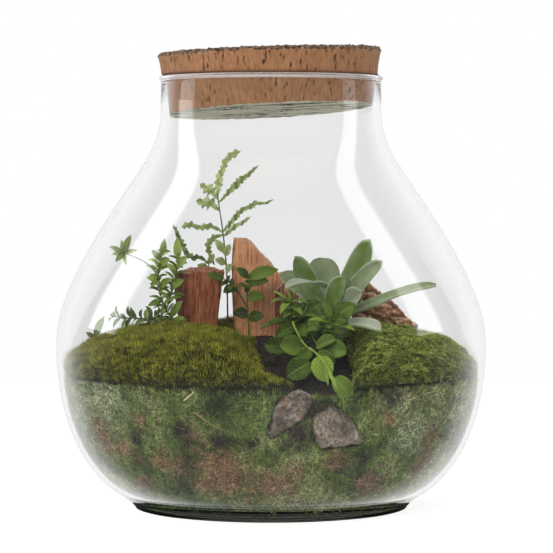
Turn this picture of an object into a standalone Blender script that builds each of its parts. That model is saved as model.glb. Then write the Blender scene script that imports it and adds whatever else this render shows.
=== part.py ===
"""A pear-shaped glass jar with a cork stopper, planted with moss, a fern, a succulent and a creeper.

The pieces are drawn in millimetres, with +X to the right, +Y to the back and +Z up, and are brought to
metres at the end. The origin is the middle of the foot.
"""

import math
import random

import bmesh
import bpy
from mathutils import Matrix, Vector, noise
from mathutils.geometry import interpolate_bezier

MM = 0.001
GAP = 0.35

# The jar: radii and heights of its outside
FOOT_RADIUS = 85.5
FOOT_TOP = (95.0, 9.0)
BELLY = (134.2, 101.2)
BELLY_HANDLE_BELOW = 73.8
BELLY_HANDLE_ABOVE = 12.0
SHOULDER = (99.5, 185.0)
SHOULDER_SLOPE = (-0.548, 0.8365)
SHOULDER_HANDLES = (61.5, 34.7)
NECK_RADIUS = 68.8
NECK_START = 249.1
NECK_HANDLE = 23.6
JAR_HEIGHT = 269.0
LIP = ((69.7, -1.6), (69.5, -0.4), (68.2, 0.0))
WALL = 3.0
BASE_THICKNESS = 5.0
BASE_FLAT_RADIUS = 80.0
SIDES = 40

# The cork: a plug inside the neck, thinner at its front and right, and a wider head that rests on the rim
# and leans to the left.
# Each ring of the head has a radius, how ragged that is, a height under the top and how ragged that is.
CORK_BOTTOM = 247.6
CORK_PLUG_TAPER = 2.6
CORK_WEDGE = (0.055, 0.054)
CORK_LEAN = 0.03
CORK_TOP = 286.0
CORK_HEAD = ((69.2, 0.5, 4.5, 0.0), (69.5, 1.0, 1.6, 1.0), (66.5, 0.0, 0.6, 1.4), (44.0, 0.0, 0.8, 1.0))
CORK_RIM_RADIUS = 67.4

# The filling: a wall of pressed moss round gravel and soil
LINING_THICKNESS = 7.0
LINING_FOOT = (79.4, 71.0)
MOSS_LINE = 81.5
FLOOR = BASE_THICKNESS + 0.4
GRAVEL_TOP = 22.0
SOIL_EDGE = 74.0
SOIL_CROWN = 105.0
SOIL_EDGE_DROP = 23.0
SOIL_FLAT_RADIUS = 38.0
SOIL_FALL_LENGTH = 80.0

# The valley of bare soil at the front: where it runs, and where the lining dips behind it
VALLEY_DEPTH = 8.0
VALLEY_X = 24.0
VALLEY_WIDTH = 24.0
VALLEY_START = 62.0
VALLEY_LENGTH = 30.0
DIP_DEPTH = 5.0
DIP_ANGLE = 288.0
DIP_SPREAD = 11.0

# The cushions of live moss on top
MOUND_CROWN = 113.0
MOUND_EDGE = 84.0
MOUND_FLAT_RADIUS = 40.0
MOUND_FALL_LENGTH = 90.0
MOUND_OVERHANG = 113.0
MOUND_REACH = 127.4
MAT_THICKNESS = 2.5

# Stems stand in plain holes this much wider than they are
HOLE_MARGIN = 0.5
HOLE_SIDES = 8
HOLE_DEPTH = 26.0

# Which way leaves look: towards the viewer, or up and a little forward
CAMERA_SIDE = (0.0, -1.0, 0.25)
SKY = (0.0, -0.35, 1.0)
THINNEST = 1.1


def clear_scene():
    for item in list(bpy.data.objects):
        bpy.data.objects.remove(item, do_unlink=True)


def finish(name, colour, roughness, transmission=0.0):
    """A plain material with the piece's own colour."""
    material = bpy.data.materials.new(name)
    material.use_nodes = True
    shader = material.node_tree.nodes["Principled BSDF"]
    shader.inputs["Base Color"].default_value = (*colour, 1.0)
    shader.inputs["Roughness"].default_value = roughness
    shader.inputs["Metallic"].default_value = 0.0
    shader.inputs["Transmission Weight"].default_value = transmission
    return material


def new_object(name, bm, material, smooth_angle=None):
    """Turns a mesh into an object of triangles whose faces point out."""
    bmesh.ops.triangulate(bm, faces=bm.faces)
    bmesh.ops.recalc_face_normals(bm, faces=bm.faces)
    if bm.calc_volume(signed=True) < 0.0:
        bmesh.ops.reverse_faces(bm, faces=bm.faces)
    mesh = bpy.data.meshes.new(name)
    bm.to_mesh(mesh)
    bm.free()
    mesh.materials.append(material)
    if smooth_angle is not None:
        mesh.shade_smooth()
        mesh.set_sharp_from_angle(angle=math.radians(smooth_angle))
    item = bpy.data.objects.new(name, mesh)
    bpy.context.scene.collection.objects.link(item)
    return item


def combine(target, tools, operation, solver="EXACT"):
    """Joins the tools to the target, or cuts them out of it, and removes them."""
    group = bpy.data.collections.new("tools")
    bpy.context.scene.collection.children.link(group)
    for tool in tools:
        group.objects.link(tool)
    modifier = target.modifiers.new("Boolean", "BOOLEAN")
    modifier.operand_type = "COLLECTION"
    modifier.collection = group
    modifier.operation = operation
    modifier.solver = solver
    graph = bpy.context.evaluated_depsgraph_get()
    result = bpy.data.meshes.new_from_object(target.evaluated_get(graph))
    target.modifiers.clear()
    target.data = result
    for tool in tools:
        bpy.data.objects.remove(tool, do_unlink=True)
    bpy.data.collections.remove(group)
    return target


def loft(bm, rings, start=None, end=None, closed=False):
    """Skins rings of equal length, each end with a cap or drawn to a point."""
    loops = [[bm.verts.new(point) for point in ring] for ring in rings]
    pairs = list(zip(loops, loops[1:]))
    if closed:
        pairs.append((loops[-1], loops[0]))
    for low, high in pairs:
        for index in range(len(low)):
            following = (index + 1) % len(low)
            bm.faces.new((low[index], low[following], high[following]))
            bm.faces.new((low[index], high[following], high[index]))
    if closed:
        return
    for loop, point in ((loops[0], start), (loops[-1], end)):
        if point is None:
            bm.faces.new(loop)
            continue
        tip = bm.verts.new(point)
        for index in range(len(loop)):
            bm.faces.new((loop[index], loop[(index + 1) % len(loop)], tip))


def smoothstep(value):
    value = min(max(value, 0.0), 1.0)
    return value * value * (3.0 - 2.0 * value)


def bezier(start, handle_a, handle_b, end, steps):
    """The points of a curve in the plane of radius and height, without its first one."""
    corners = [Vector((radius, height, 0.0)) for radius, height in (start, handle_a, handle_b, end)]
    return [(point.x, point.y) for point in interpolate_bezier(*corners, steps + 1)[1:]]


def jar_curve():
    """The outside of the jar from the top of its foot to the top of its neck."""
    leave, arrive = SHOULDER_HANDLES
    below = (SHOULDER[0] - SHOULDER_SLOPE[0] * leave, SHOULDER[1] - SHOULDER_SLOPE[1] * leave)
    above = (SHOULDER[0] + SHOULDER_SLOPE[0] * arrive, SHOULDER[1] + SHOULDER_SLOPE[1] * arrive)
    curve = [FOOT_TOP]
    curve += bezier(FOOT_TOP, FOOT_TOP, (BELLY[0], BELLY[1] - BELLY_HANDLE_BELOW), BELLY, 5)
    curve += bezier(BELLY, (BELLY[0], BELLY[1] + BELLY_HANDLE_ABOVE), below, SHOULDER, 5)
    curve += bezier(SHOULDER, above, (NECK_RADIUS, NECK_START - NECK_HANDLE), (NECK_RADIUS, NECK_START), 5)
    curve.append((NECK_RADIUS, JAR_HEIGHT - 3.0))
    return curve


def inset_curve(curve, distance):
    """The curve moved towards the axis, square to itself."""
    result = []
    for index, (radius, height) in enumerate(curve):
        before = curve[max(index - 1, 0)]
        after = curve[min(index + 1, len(curve) - 1)]
        along = Vector((after[0] - before[0], after[1] - before[1])).normalized()
        result.append((radius - along.y * distance, height + along.x * distance))
    return result


def radius_at(curve, height):
    """The radius that a rising curve has at a height."""
    for (radius_a, height_a), (radius_b, height_b) in zip(curve, curve[1:]):
        if height_a <= height <= height_b:
            share = (height - height_a) / (height_b - height_a)
            return radius_a + (radius_b - radius_a) * share
    return curve[0][0] if height < curve[0][1] else curve[-1][0]


def stretch_between(curve, low, high):
    """The part of a rising curve between two heights, with a point at each."""
    inside = [point for point in curve if low < point[1] < high]
    return [(radius_at(curve, low), low)] + inside + [(radius_at(curve, high), high)]


def circle_points(radius, height):
    """One ring of points; either value may be a function of the angle."""
    points = []
    for index in range(SIDES):
        angle = 2.0 * math.pi * index / SIDES
        reach = radius(angle) if callable(radius) else radius
        level = height(angle) if callable(height) else height
        points.append(Vector((reach * math.cos(angle), reach * math.sin(angle), level)))
    return points


def rough(point, size, amount):
    """A height of uneven ground at a point, from a fixed noise."""
    return amount * noise.noise(Vector(point) / size)


def ground(x, y):
    """The top of the soil: a low crown that falls to the wall, and a valley at the front."""
    radius = math.hypot(x, y)
    fall = SOIL_EDGE_DROP * smoothstep((radius - SOIL_FLAT_RADIUS) / SOIL_FALL_LENGTH)
    valley = VALLEY_DEPTH * math.exp(-((x - VALLEY_X) / VALLEY_WIDTH) ** 2)
    valley *= smoothstep((-y - VALLEY_START) / VALLEY_LENGTH)
    return SOIL_CROWN - fall - valley + rough((x, y, 0.0), 11.0, 0.8)


def valley_dip(angle):
    """How far the lining's top edge drops behind the front valley."""
    return DIP_DEPTH * math.exp(-((math.degrees(angle) - DIP_ANGLE) / DIP_SPREAD) ** 2)


def build_jar(glass):
    curve = jar_curve()
    inner = inset_curve(curve, WALL)
    neck = inner[-1][0]
    outline = [(FOOT_RADIUS - 2.0, 0.0), (FOOT_RADIUS, 1.5)]
    outline += curve
    outline += [(radius, JAR_HEIGHT + drop) for radius, drop in LIP]
    outline += [(neck + 0.7, JAR_HEIGHT - 0.1), (neck, JAR_HEIGHT - 1.0)]
    outline += list(reversed(inner[:-1]))
    outline.append((BASE_FLAT_RADIUS, BASE_THICKNESS))
    bm = bmesh.new()
    rings = [circle_points(radius, height) for radius, height in outline]
    loft(bm, rings, (0.0, 0.0, 0.0), (0.0, 0.0, BASE_THICKNESS))
    return new_object("glass_jar", bm, glass, 35)


def build_cork(cork):
    """The plug tapers into the neck, and the head has a ragged bark edge at its top."""
    plug = radius_at(inset_curve(jar_curve(), WALL), CORK_BOTTOM) - CORK_PLUG_TAPER
    neck = inset_curve(jar_curve(), WALL)[-1][0] - GAP
    ledge = JAR_HEIGHT + GAP

    def ragged(base, amount, level, lean=0.0):
        def value(angle):
            place = (math.cos(angle) * 9, math.sin(angle) * 9, level)
            return base + lean * math.cos(angle) + rough(place, 1.0, amount)
        return value

    def sloping(radius, rise):
        def height(angle):
            slope = CORK_WEDGE[0] * math.cos(angle) - CORK_WEDGE[1] * math.sin(angle)
            return CORK_BOTTOM + rise + radius * slope
        return height

    bm = bmesh.new()
    rings = [circle_points(plug - 3.0, sloping(plug - 3.0, 0.0)), circle_points(plug, sloping(plug, 2.0))]
    rings += [circle_points(neck - 0.3, JAR_HEIGHT - 2.0), circle_points(neck - 0.3, ledge)]
    rings += [circle_points(CORK_RIM_RADIUS, ledge + 0.1)]
    for order, (radius, ragged_side, drop, ragged_top) in enumerate(CORK_HEAD):
        side = ragged(radius, ragged_side, 3.0 + 2.0 * order)
        top = ragged(CORK_TOP - drop, ragged_top, 5.0 + 2.0 * order, CORK_LEAN * radius)
        rings.append(circle_points(side, top))
    loft(bm, rings, (0.0, 0.0, CORK_BOTTOM + 0.4), (0.0, 0.0, CORK_TOP - CORK_HEAD[-1][2]))
    return new_object("cork_stopper", bm, cork, 40)


def build_lining(moss):
    """A wall of sheet moss between the glass and the soil, with an uneven top edge."""
    outer = inset_curve(jar_curve(), WALL + GAP)
    inner = inset_curve(jar_curve(), WALL + GAP + LINING_THICKNESS)
    shoulder = MOSS_LINE - 9.0
    outside = [(LINING_FOOT[0], FLOOR)] + stretch_between(outer, outer[0][1], shoulder)
    inside = [(LINING_FOOT[1], FLOOR)] + stretch_between(inner, inner[0][1], shoulder)

    def edge(drop, amount, level):
        def height(angle):
            bump = rough((math.cos(angle) * 12, math.sin(angle) * 12, level), 1.0, amount)
            return MOSS_LINE - drop - valley_dip(angle) + bump
        return height

    bm = bmesh.new()
    rings = [circle_points(radius, height) for radius, height in outside]
    rings.append(circle_points(radius_at(outer, MOSS_LINE - 2.0) - 0.2, edge(1.0, 0.8, 1.0)))
    middle = radius_at(outer, MOSS_LINE) - LINING_THICKNESS * 0.5
    rings.append(circle_points(middle, edge(-0.6, 1.2, 2.0)))
    rings.append(circle_points(radius_at(inner, MOSS_LINE - 3.0) + 0.2, edge(2.6, 0.5, 3.0)))
    rings += [circle_points(radius, height) for radius, height in reversed(inside)]
    loft(bm, rings, closed=True)
    return new_object("moss_lining", bm, moss, 40)


def build_gravel(stone):
    """The bed of drainage gravel on the jar's floor."""
    side = inset_curve(jar_curve(), WALL + LINING_THICKNESS + 3.0 * GAP)
    bm = bmesh.new()
    rings = [circle_points(LINING_FOOT[1] - 1.0, FLOOR)]
    rings.append(circle_points(side[0][0] - 0.4, side[0][1] + 0.4))
    rings.append(circle_points(radius_at(side, GRAVEL_TOP - 2.0) - 0.3, GRAVEL_TOP - 2.0))
    for share in (0.93, 0.78, 0.6, 0.4, 0.2):
        reach = share * radius_at(side, GRAVEL_TOP)

        def pebbles(angle, reach=reach):
            point = (reach * math.cos(angle), reach * math.sin(angle), 0.0)
            return GRAVEL_TOP - 0.9 + rough(point, 6.0, 1.5)

        rings.append(circle_points(reach, pebbles))
    loft(bm, rings, (0.0, 0.0, FLOOR), (0.0, 0.0, GRAVEL_TOP - 0.6))
    return new_object("drainage_gravel", bm, stone, 40)


def build_soil(soil):
    """The soil from the gravel up to its uneven top."""
    side = inset_curve(jar_curve(), WALL + LINING_THICKNESS + 3.0 * GAP)
    floor = GRAVEL_TOP + 1.2
    bm = bmesh.new()
    wall = stretch_between(side, floor, SOIL_EDGE - 4.0)
    rings = [circle_points(radius, height) for radius, height in wall]
    edge = radius_at(side, SOIL_EDGE) - 0.3
    for share in (1.0, 0.93, 0.84, 0.74, 0.62, 0.48, 0.32, 0.16):
        reach = share * edge

        def level(angle, reach=reach):
            return ground(reach * math.cos(angle), reach * math.sin(angle))

        rings.append(circle_points(reach, level))
    loft(bm, rings, (0.0, 0.0, floor), (0.0, 0.0, ground(0.0, 0.0)))
    return new_object("potting_soil", bm, soil, 40)


def mound_seat(x, y):
    """The underside of a moss cushion: on the soil, and over the lining near the glass."""
    if math.hypot(x, y) > MOUND_OVERHANG:
        return max(ground(x, y) + 1.0, MOSS_LINE + 1.9)
    return ground(x, y) + 1.0


def mound_top(x, y, along_ends, inner_edge):
    """The top of a moss cushion, which thins out at its ends and towards the middle."""
    radius = math.hypot(x, y)
    low = mound_seat(x, y) + MAT_THICKNESS
    out = max(radius - MOUND_FLAT_RADIUS, 0.0) / MOUND_FALL_LENGTH
    bulge = max(1.0 - out ** 3, 0.0) ** 0.6
    crest = MOUND_EDGE + (MOUND_CROWN - MOUND_EDGE) * bulge
    crest += rough((x, y, 4.0), 13.0, 2.6) + rough((x, y, 9.0), 6.5, 1.1)
    rise = smoothstep((radius - inner_edge) / 9.0)
    for distance, slope in along_ends:
        rise *= smoothstep(distance / slope)
    return low + max(crest - low, 0.0) * rise


def build_mound(name, first_ends, last_ends, inner_edge, slopes, moss):
    """A cushion of live moss over one side of the soil, from the middle out over the lining.

    Each end is a pair of angles in degrees, at the cushion's inner edge and at the glass.
    """
    steps = round((last_ends[1] - first_ends[1]) / 7.0)
    shares = (0.0, 0.12, 0.27, 0.42, 0.57, 0.72, 0.87, 1.0)
    bm = bmesh.new()
    rings = []
    for step in range(steps + 1):
        under = []
        over = []
        for share in shares:
            radius = inner_edge + (MOUND_REACH - inner_edge) * share
            first = math.radians(first_ends[0] + (first_ends[1] - first_ends[0]) * share)
            last = math.radians(last_ends[0] + (last_ends[1] - last_ends[0]) * share)
            angle = first + (last - first) * step / steps
            x = radius * math.cos(angle)
            y = radius * math.sin(angle)
            along_ends = ((radius * (angle - first), slopes[0]), (radius * (last - angle), slopes[1]))
            under.append(Vector((x, y, mound_seat(x, y))))
            over.append(Vector((x, y, mound_top(x, y, along_ends, inner_edge))))
        rings.append(under + list(reversed(over)))
    loft(bm, rings)
    return new_object(name, bm, moss, 60)


def build_bark(name, foot_level, corners, spread, strips, seed, bark):
    """A block of fibrous bark: its corners give its outline and heights, and ridges run down its sides."""
    draw = random.Random(seed)
    count = len(corners)
    middle_x = sum(corner[0] for corner in corners) / count
    middle_y = sum(corner[1] for corner in corners) / count
    columns = []
    for index, corner in enumerate(corners):
        following = corners[(index + 1) % count]
        for strip in range(strips):
            share = strip / strips
            point = [a + (b - a) * share for a, b in zip(corner, following)]
            ridge = 1.0 + (0.035 if strip % 2 else -0.015) + draw.uniform(-0.02, 0.02)
            columns.append((point[0], point[1], point[2] + draw.uniform(-1.2, 1.2), ridge))
    rings = []
    for level in (0.0, 0.35, 0.7, 1.0):
        ring = []
        for x, y, top, ridge in columns:
            size = (spread + (1.0 - spread) * level) * ridge
            bend = 0.6 * math.sin(7.0 * level + x)
            ring.append(Vector((middle_x + (x - middle_x) * size + bend, middle_y + (y - middle_y) * size,
                                foot_level + (top - foot_level) * level)))
        rings.append(ring)
    summit = sum(column[2] for column in columns) / len(columns)
    bm = bmesh.new()
    loft(bm, rings, (middle_x, middle_y, foot_level), (middle_x, middle_y, summit - 0.8))
    return new_object(name, bm, bark)


def hull_object(name, points, material):
    """The closed skin round a set of points."""
    bm = bmesh.new()
    for point in points:
        bm.verts.new(point)
    hull = bmesh.ops.convex_hull(bm, input=bm.verts)
    loose = [item for item in hull["geom_interior"] if isinstance(item, bmesh.types.BMVert)]
    bmesh.ops.delete(bm, geom=loose, context="VERTS")
    return new_object(name, bm, material)


def stone_points(outline, seed):
    """The corners of a stone whose outline shows through the front of the jar."""
    draw = random.Random(seed)
    wall = inset_curve(jar_curve(), WALL)
    count = len(outline)
    centre = [sum(corner[axis] for corner in outline) / count for axis in (0, 1)]
    points = []
    for size, depth in ((0.66, 0.0), (1.0, 4.5), (0.92, 9.0), (0.55, 13.0)):
        for x, z in outline:
            x = centre[0] + (x - centre[0]) * size * draw.uniform(0.95, 1.03)
            z = centre[1] + (z - centre[1]) * size * draw.uniform(0.95, 1.03)
            front = -math.sqrt((radius_at(wall, z) - 0.9) ** 2 - x * x)
            points.append(Vector((x, front + depth + draw.uniform(0.0, 0.8), z)))
    return points


def pocket(item, margin=0.6, reach=0.0):
    """A cutter a little larger than an object, for its hollow; reach opens the hollow to the front."""
    points = [vertex.co.copy() for vertex in item.data.vertices]
    centre = sum(points, Vector()) / len(points)
    grown = [point + (point - centre).normalized() * margin for point in points]
    grown += [point - Vector((0.0, reach, 0.0)) for point in grown]
    return hull_object("pocket", grown, item.data.materials[0])


def root_hole(root, radius):
    """A cutter for the plain hole that a stem stands in."""
    x, y, z = root
    bm = bmesh.new()
    place = Matrix.Translation((x, y, z - GAP + HOLE_DEPTH * 0.5))
    reach = radius + HOLE_MARGIN
    bmesh.ops.create_cone(bm, cap_ends=True, segments=HOLE_SIDES, radius1=reach, radius2=reach,
                          depth=HOLE_DEPTH, matrix=place)
    return new_object("hole", bm, bpy.data.materials["soil"])


# Leaf outlines: how wide the blade is along its length
LEAFLET = ((0.0, 0.3), (0.45, 1.0), (1.0, 0.0))
LENS = ((0.0, 0.16), (0.28, 0.82), (0.6, 0.98), (1.0, 0.0))
ROUND = ((0.0, 0.12), (0.25, 0.8), (0.55, 1.0), (0.86, 0.66), (1.0, 0.0))
SPOON = ((0.0, 0.34), (0.3, 0.6), (0.62, 1.0), (0.86, 0.8), (1.0, 0.0))


def section(centre, along, face, width, thick, fold):
    """The four corners of a blade's section: an edge, the upper face, the other edge, the lower face."""
    across = along.cross(face).normalized()
    up = across.cross(along).normalized()
    lift = up * (width * fold)
    return [centre - across * (width * 0.5) + lift, centre + up * (thick * 0.5),
            centre + across * (width * 0.5) + lift, centre - up * (thick * 0.5)]


def add_blade(name, spine, widths, faces, thick, fold, material):
    """A closed blade along a spine, with a point at its tip."""
    rings = []
    for index in range(len(spine) - 1):
        before = spine[max(index - 1, 0)]
        along = (spine[index + 1] - before).normalized()
        rings.append(section(spine[index], along, faces[index], widths[index], thick, fold))
    bm = bmesh.new()
    loft(bm, rings, end=spine[-1])
    return new_object(name, bm, material)


def leaf(base, tip, width, face, outline, material, bend=0.12, thick=0.9, fold=0.1):
    """One leaf from its foot to its tip; bend raises its middle, as a share of its length."""
    start = Vector(base)
    end = Vector(tip)
    face = Vector(face).normalized()
    spine = []
    widths = []
    for share, breadth in outline:
        arch = 4.0 * share * (1.0 - share) * bend * (end - start).length
        spine.append(start.lerp(end, share) + face * arch)
        widths.append(max(width * breadth, THINNEST))
    return add_blade("leaf", spine, widths, [face] * len(spine), thick, fold, material)


def ribbon(points, widths, material, turn=28.0, thick=0.9):
    """A narrow pinna whose blade waves from side to side as it goes."""
    spine = [Vector(point) for point in points]
    faces = []
    for index in range(len(spine)):
        angle = math.radians(turn if index % 2 else -turn)
        faces.append(Vector((0.3 * math.sin(angle), -math.cos(angle), math.sin(angle))))
    return add_blade("pinna", spine, [max(width, THINNEST) for width in widths], faces, thick, 0.12, material)


def stem(points, radius, material, sides=4, taper=0.7):
    """A round stem through its points, thinner at its tip."""
    spine = [Vector(point) for point in points]
    rings = []
    for index, point in enumerate(spine):
        before = spine[max(index - 1, 0)]
        after = spine[min(index + 1, len(spine) - 1)]
        along = (after - before).normalized()
        across = along.orthogonal().normalized() if abs(along.z) < 0.3 else along.cross(Vector((0, 1, 0)))
        across.normalize()
        up = across.cross(along).normalized()
        size = radius * (1.0 - (1.0 - taper) * index / (len(spine) - 1))
        ring = []
        for side in range(sides):
            angle = 2.0 * math.pi * side / sides
            ring.append(point + across * (size * math.cos(angle)) + up * (size * math.sin(angle)))
        rings.append(ring)
    bm = bmesh.new()
    loft(bm, rings)
    return new_object("stem", bm, material)


def fuse(name, pieces, solver="EXACT"):
    """Joins a plant's stems and leaves into one body."""
    plant = combine(pieces[0], pieces[1:], "UNION", solver)
    plant.name = name
    plant.data.name = name
    return plant


def build_fern_tall(green):
    """The tall frond: a thin stalk with long waved pinnae."""
    stalk = [(-28, 45, 98), (-28, 45, 114), (-28.9, 46, 148), (-31.5, 46, 173), (-33.6, 46, 186.5),
             (-34.8, 46, 197)]
    pieces = [stem(stalk, 0.9, green)]
    pieces.append(ribbon([(-34.4, 46, 194), (-34.2, 45.5, 200), (-33.3, 44.5, 205.6), (-31.5, 44, 210.5),
                          (-29.5, 44, 215), (-26, 44, 219), (-19.9, 44, 221.7)],
                         [1.2, 5, 5.5, 4, 4.5, 5], green))
    pieces.append(ribbon([(-34.0, 46, 189.5), (-29, 43.5, 194.5), (-25, 43, 198.5), (-21, 42, 202.4),
                          (-15, 41, 207), (-8.3, 40, 212.7)], [1.2, 2.2, 5.5, 5, 2.5], green))
    pieces.append(ribbon([(-31.2, 46, 171), (-25, 44, 178), (-19.9, 42, 183.9), (-14, 41, 187),
                          (-9.6, 40, 189), (-4, 39, 189.3), (1.3, 38, 191.5)],
                         [1.2, 3.2, 4.2, 3.4, 4, 1.6], green))
    pieces.append(ribbon([(-30.9, 46, 168), (-24, 43, 174), (-18.5, 41, 177), (-13.5, 40, 180.5)],
                         [1.2, 4.4, 2.4], green))
    pieces.append(ribbon([(-34.4, 46, 192), (-39.5, 45, 197.5), (-46, 44, 201.5)], [1.4, 7.5], green, 14.0))
    pieces.append(ribbon([(-33.3, 46, 184.5), (-39.5, 45, 189), (-48.5, 43, 191)], [1.4, 8.5], green, 14.0))
    pieces.append(ribbon([(-31.3, 46, 171), (-36, 45.5, 173.5), (-41, 45, 174.5), (-47, 44.5, 174),
                          (-52, 44, 175.5), (-58, 44, 174.5)], [1.2, 3.6, 4.2, 3.6, 4.4], green))
    pieces.append(ribbon([(-31.0, 46, 169), (-36.5, 47, 167.5), (-40.5, 48, 163), (-40, 49, 157),
                          (-36.5, 50, 150)], [1.2, 4.6, 4.2, 3], green))
    for base, tip in (((-30.2, 46, 158), (-36, 43, 166)), ((-29.8, 46, 156), (-26, 37.5, 163)),
                      ((-29.3, 46, 151), (-36, 42.5, 153.5)), ((-29.1, 46, 146), (-24.5, 37.5, 150))):
        pieces.append(leaf(base, tip, 5.2, CAMERA_SIDE, LENS, green))
    return fuse("fern_frond_tall", pieces, "MANIFOLD"), (-28, 45, 98), 0.9


def build_fern_low(green):
    """The low frond that arches out over the left block of bark."""
    pieces = [stem([(-41, 46, 98), (-41, 46, 114), (-40, 46, 140), (-40.5, 45, 154)], 0.9, green)]
    pieces.append(ribbon([(-40.4, 45, 151), (-45, 44, 154.5), (-50.8, 43, 155), (-55.7, 42, 159.5),
                          (-58.9, 42, 166.5), (-61, 42, 171), (-63.4, 42, 176)],
                         [1.2, 3.6, 3.8, 4.6, 4.6, 2.6], green))
    for base, tip, width in (((-40.2, 45.5, 147), (-47.5, 42, 150), 4.6),
                             ((-40.1, 45.5, 143), (-34.5, 42, 147), 4.2),
                             ((-40.4, 45, 151), (-36.5, 42, 157), 4.0)):
        pieces.append(leaf(base, tip, width, CAMERA_SIDE, LENS, green))
    return fuse("fern_frond_low", pieces, "MANIFOLD"), (-41, 46, 98), 0.9


def build_leafy_stem(green):
    """The upright stem at the left, with the long twig that carries a whorl close to the glass."""
    pieces = [stem([(-60, 3, 102), (-60, 3, 114), (-65, 4, 122), (-69, 5, 130.5), (-70.9, 6, 147)],
                   0.9, green)]
    pieces.append(stem([(-70.9, 6, 146), (-69.8, 6.5, 153), (-68, 7, 159)], 0.7, green))
    pieces.append(stem([(-65.6, 4.1, 123), (-61.5, 5, 138), (-59, 5.5, 149), (-58.4, 5.5, 158)], 0.7, green))
    pieces.append(stem([(-70.8, 6, 144), (-76.5, 8, 150.5), (-84, 11, 155), (-94, 13, 158.5)], 0.7, green))
    for base, tip, width in (((-63.2, 3.7, 119), (-55.5, -1, 129), 7.0),
                             ((-61.6, 3.4, 116), (-54, 0, 118.5), 5.5),
                             ((-68.4, 4.8, 129), (-77, 2, 126), 5.0),
                             ((-69.8, 5.4, 137), (-62.8, 1.5, 143), 6.4),
                             ((-70.3, 5.7, 141), (-78, 3, 143.5), 5.0),
                             ((-70.5, 5.9, 143), (-75.5, 2, 137), 4.4),
                             ((-70.2, 6.4, 150), (-63.6, 4, 155), 5.6),
                             ((-69.2, 6.8, 154), (-75, 5, 160.5), 5.2),
                             ((-68.3, 7, 157), (-66.8, 5, 167.5), 6.0),
                             ((-61.9, 4.9, 137), (-54.5, 2, 142), 6.0),
                             ((-59.6, 5.4, 146), (-65, 3, 152), 4.6),
                             ((-58.9, 5.5, 149.5), (-52.6, 3, 157), 6.4),
                             ((-58.5, 5.5, 155), (-59, 4, 168), 7.0)):
        pieces.append(leaf(base, tip, width, CAMERA_SIDE, LENS, green))
    for tip in ((-92.5, 11, 168), (-101, 9, 163), (-101.5, 12, 152.5), (-86.5, 9, 163.5), (-96, 6, 151)):
        pieces.append(leaf((-93.2, 12.8, 158.2), tip, 4.8, CAMERA_SIDE, LENS, green))
    return fuse("leafy_stem_left", pieces), (-60, 3, 102), 0.9


def build_floor_sprig(green):
    """Low sprigs with small leaflets, just above the left cushion."""
    pieces = [stem([(-77, 1, 99), (-77, 1, 115.5), (-84, -1, 118), (-93, -3, 118.5), (-101, -4, 120.5)],
                   0.8, green)]
    pieces.append(stem([(-77, 1, 114.2), (-74, 0, 118), (-67, -2, 121)], 0.7, green))
    for foot, reach in (((-84, -1, 118), 7.0), ((-89, -2.1, 118.3), 7.0), ((-94, -3.1, 118.8), 6.0),
                        ((-98, -3.6, 119.7), 5.0)):
        for side in (-1.0, 1.0):
            tip = (foot[0] - 3.5, foot[1] - 3.0 * side, foot[2] + 0.6 + reach * 0.5 * (1.0 + side))
            pieces.append(leaf(foot, tip, 3.6, SKY, LEAFLET, green))
    for foot, tip in (((-73.5, -0.1, 118.2), (-78, -4, 123)), ((-70.5, -1, 119.5), (-72, -7, 118)),
                      ((-68, -1.7, 120.6), (-65, -3, 126)), ((-68, -1.7, 120.5), (-62, -6, 119.5))):
        pieces.append(leaf(foot, tip, 4.0, SKY, LEAFLET, green))
    return fuse("floor_sprig", pieces), (-77, 1, 99), 0.8


def build_small_leaf(green):
    """A lone leaf close to the glass at the far left."""
    pieces = [stem([(-110, -4, 90), (-110, -4, 106), (-110.5, -4, 110)], 0.8, green)]
    pieces.append(leaf((-110.2, -4, 107.5), (-103, -5, 121), 6.4, CAMERA_SIDE, LENS, green))
    pieces.append(leaf((-110.1, -4, 106), (-117, -5, 110.5), 4.0, CAMERA_SIDE, LENS, green))
    return fuse("small_leaf_left", pieces), (-110, -4, 90), 0.8


def build_succulent(green):
    """A short stem with broad, thick grey-green leaves."""
    pieces = [stem([(36, -28, 98), (36, -28, 114), (35.5, -27, 127)], 2.6, green, sides=6)]
    wide = dict(outline=SPOON, material=green, thick=2.2, fold=0.14)
    pieces.append(leaf((34.6, -26.5, 121), (14.5, -30, 157.4), 13, (0.45, -1.0, 0.2), bend=-0.08, **wide))
    pieces.append(leaf((35.6, -25.8, 122), (31, -3, 156), 22, (0.0, -1.0, 0.35), bend=0.1, **wide))
    pieces.append(leaf((36.6, -27.2, 120), (69, -40, 166), 23, (-0.5, -0.8, 0.42), bend=-0.1, **wide))
    pieces.append(leaf((37.5, -28, 115.5), (99.6, -47, 140.5), 14, (-0.25, -0.48, 0.85), bend=0.06, **wide))
    pieces.append(leaf((34.5, -28.5, 124), (8, -52, 141), 14, (0.1, 0.25, 1.0), bend=0.05, **wide))
    pieces.append(leaf((37, -29.5, 117), (52, -59, 136), 16, (0.0, -0.55, 0.85), bend=0.1, **wide))
    pieces.append(leaf((37.5, -30, 115), (68, -70, 119.5), 12, (0.0, -0.6, 0.8), bend=0.08, **wide))
    pieces.append(leaf((34.2, -25.8, 123), (6, 3, 146.5), 13, (0.3, -1.0, 0.4), bend=0.08, **wide))
    pieces.append(leaf((36.8, -25.5, 119.5), (52, 8, 143), 14, (-0.3, -0.6, 0.9), bend=0.1, **wide))
    return fuse("succulent", pieces), (36, -28, 98), 2.6


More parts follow.
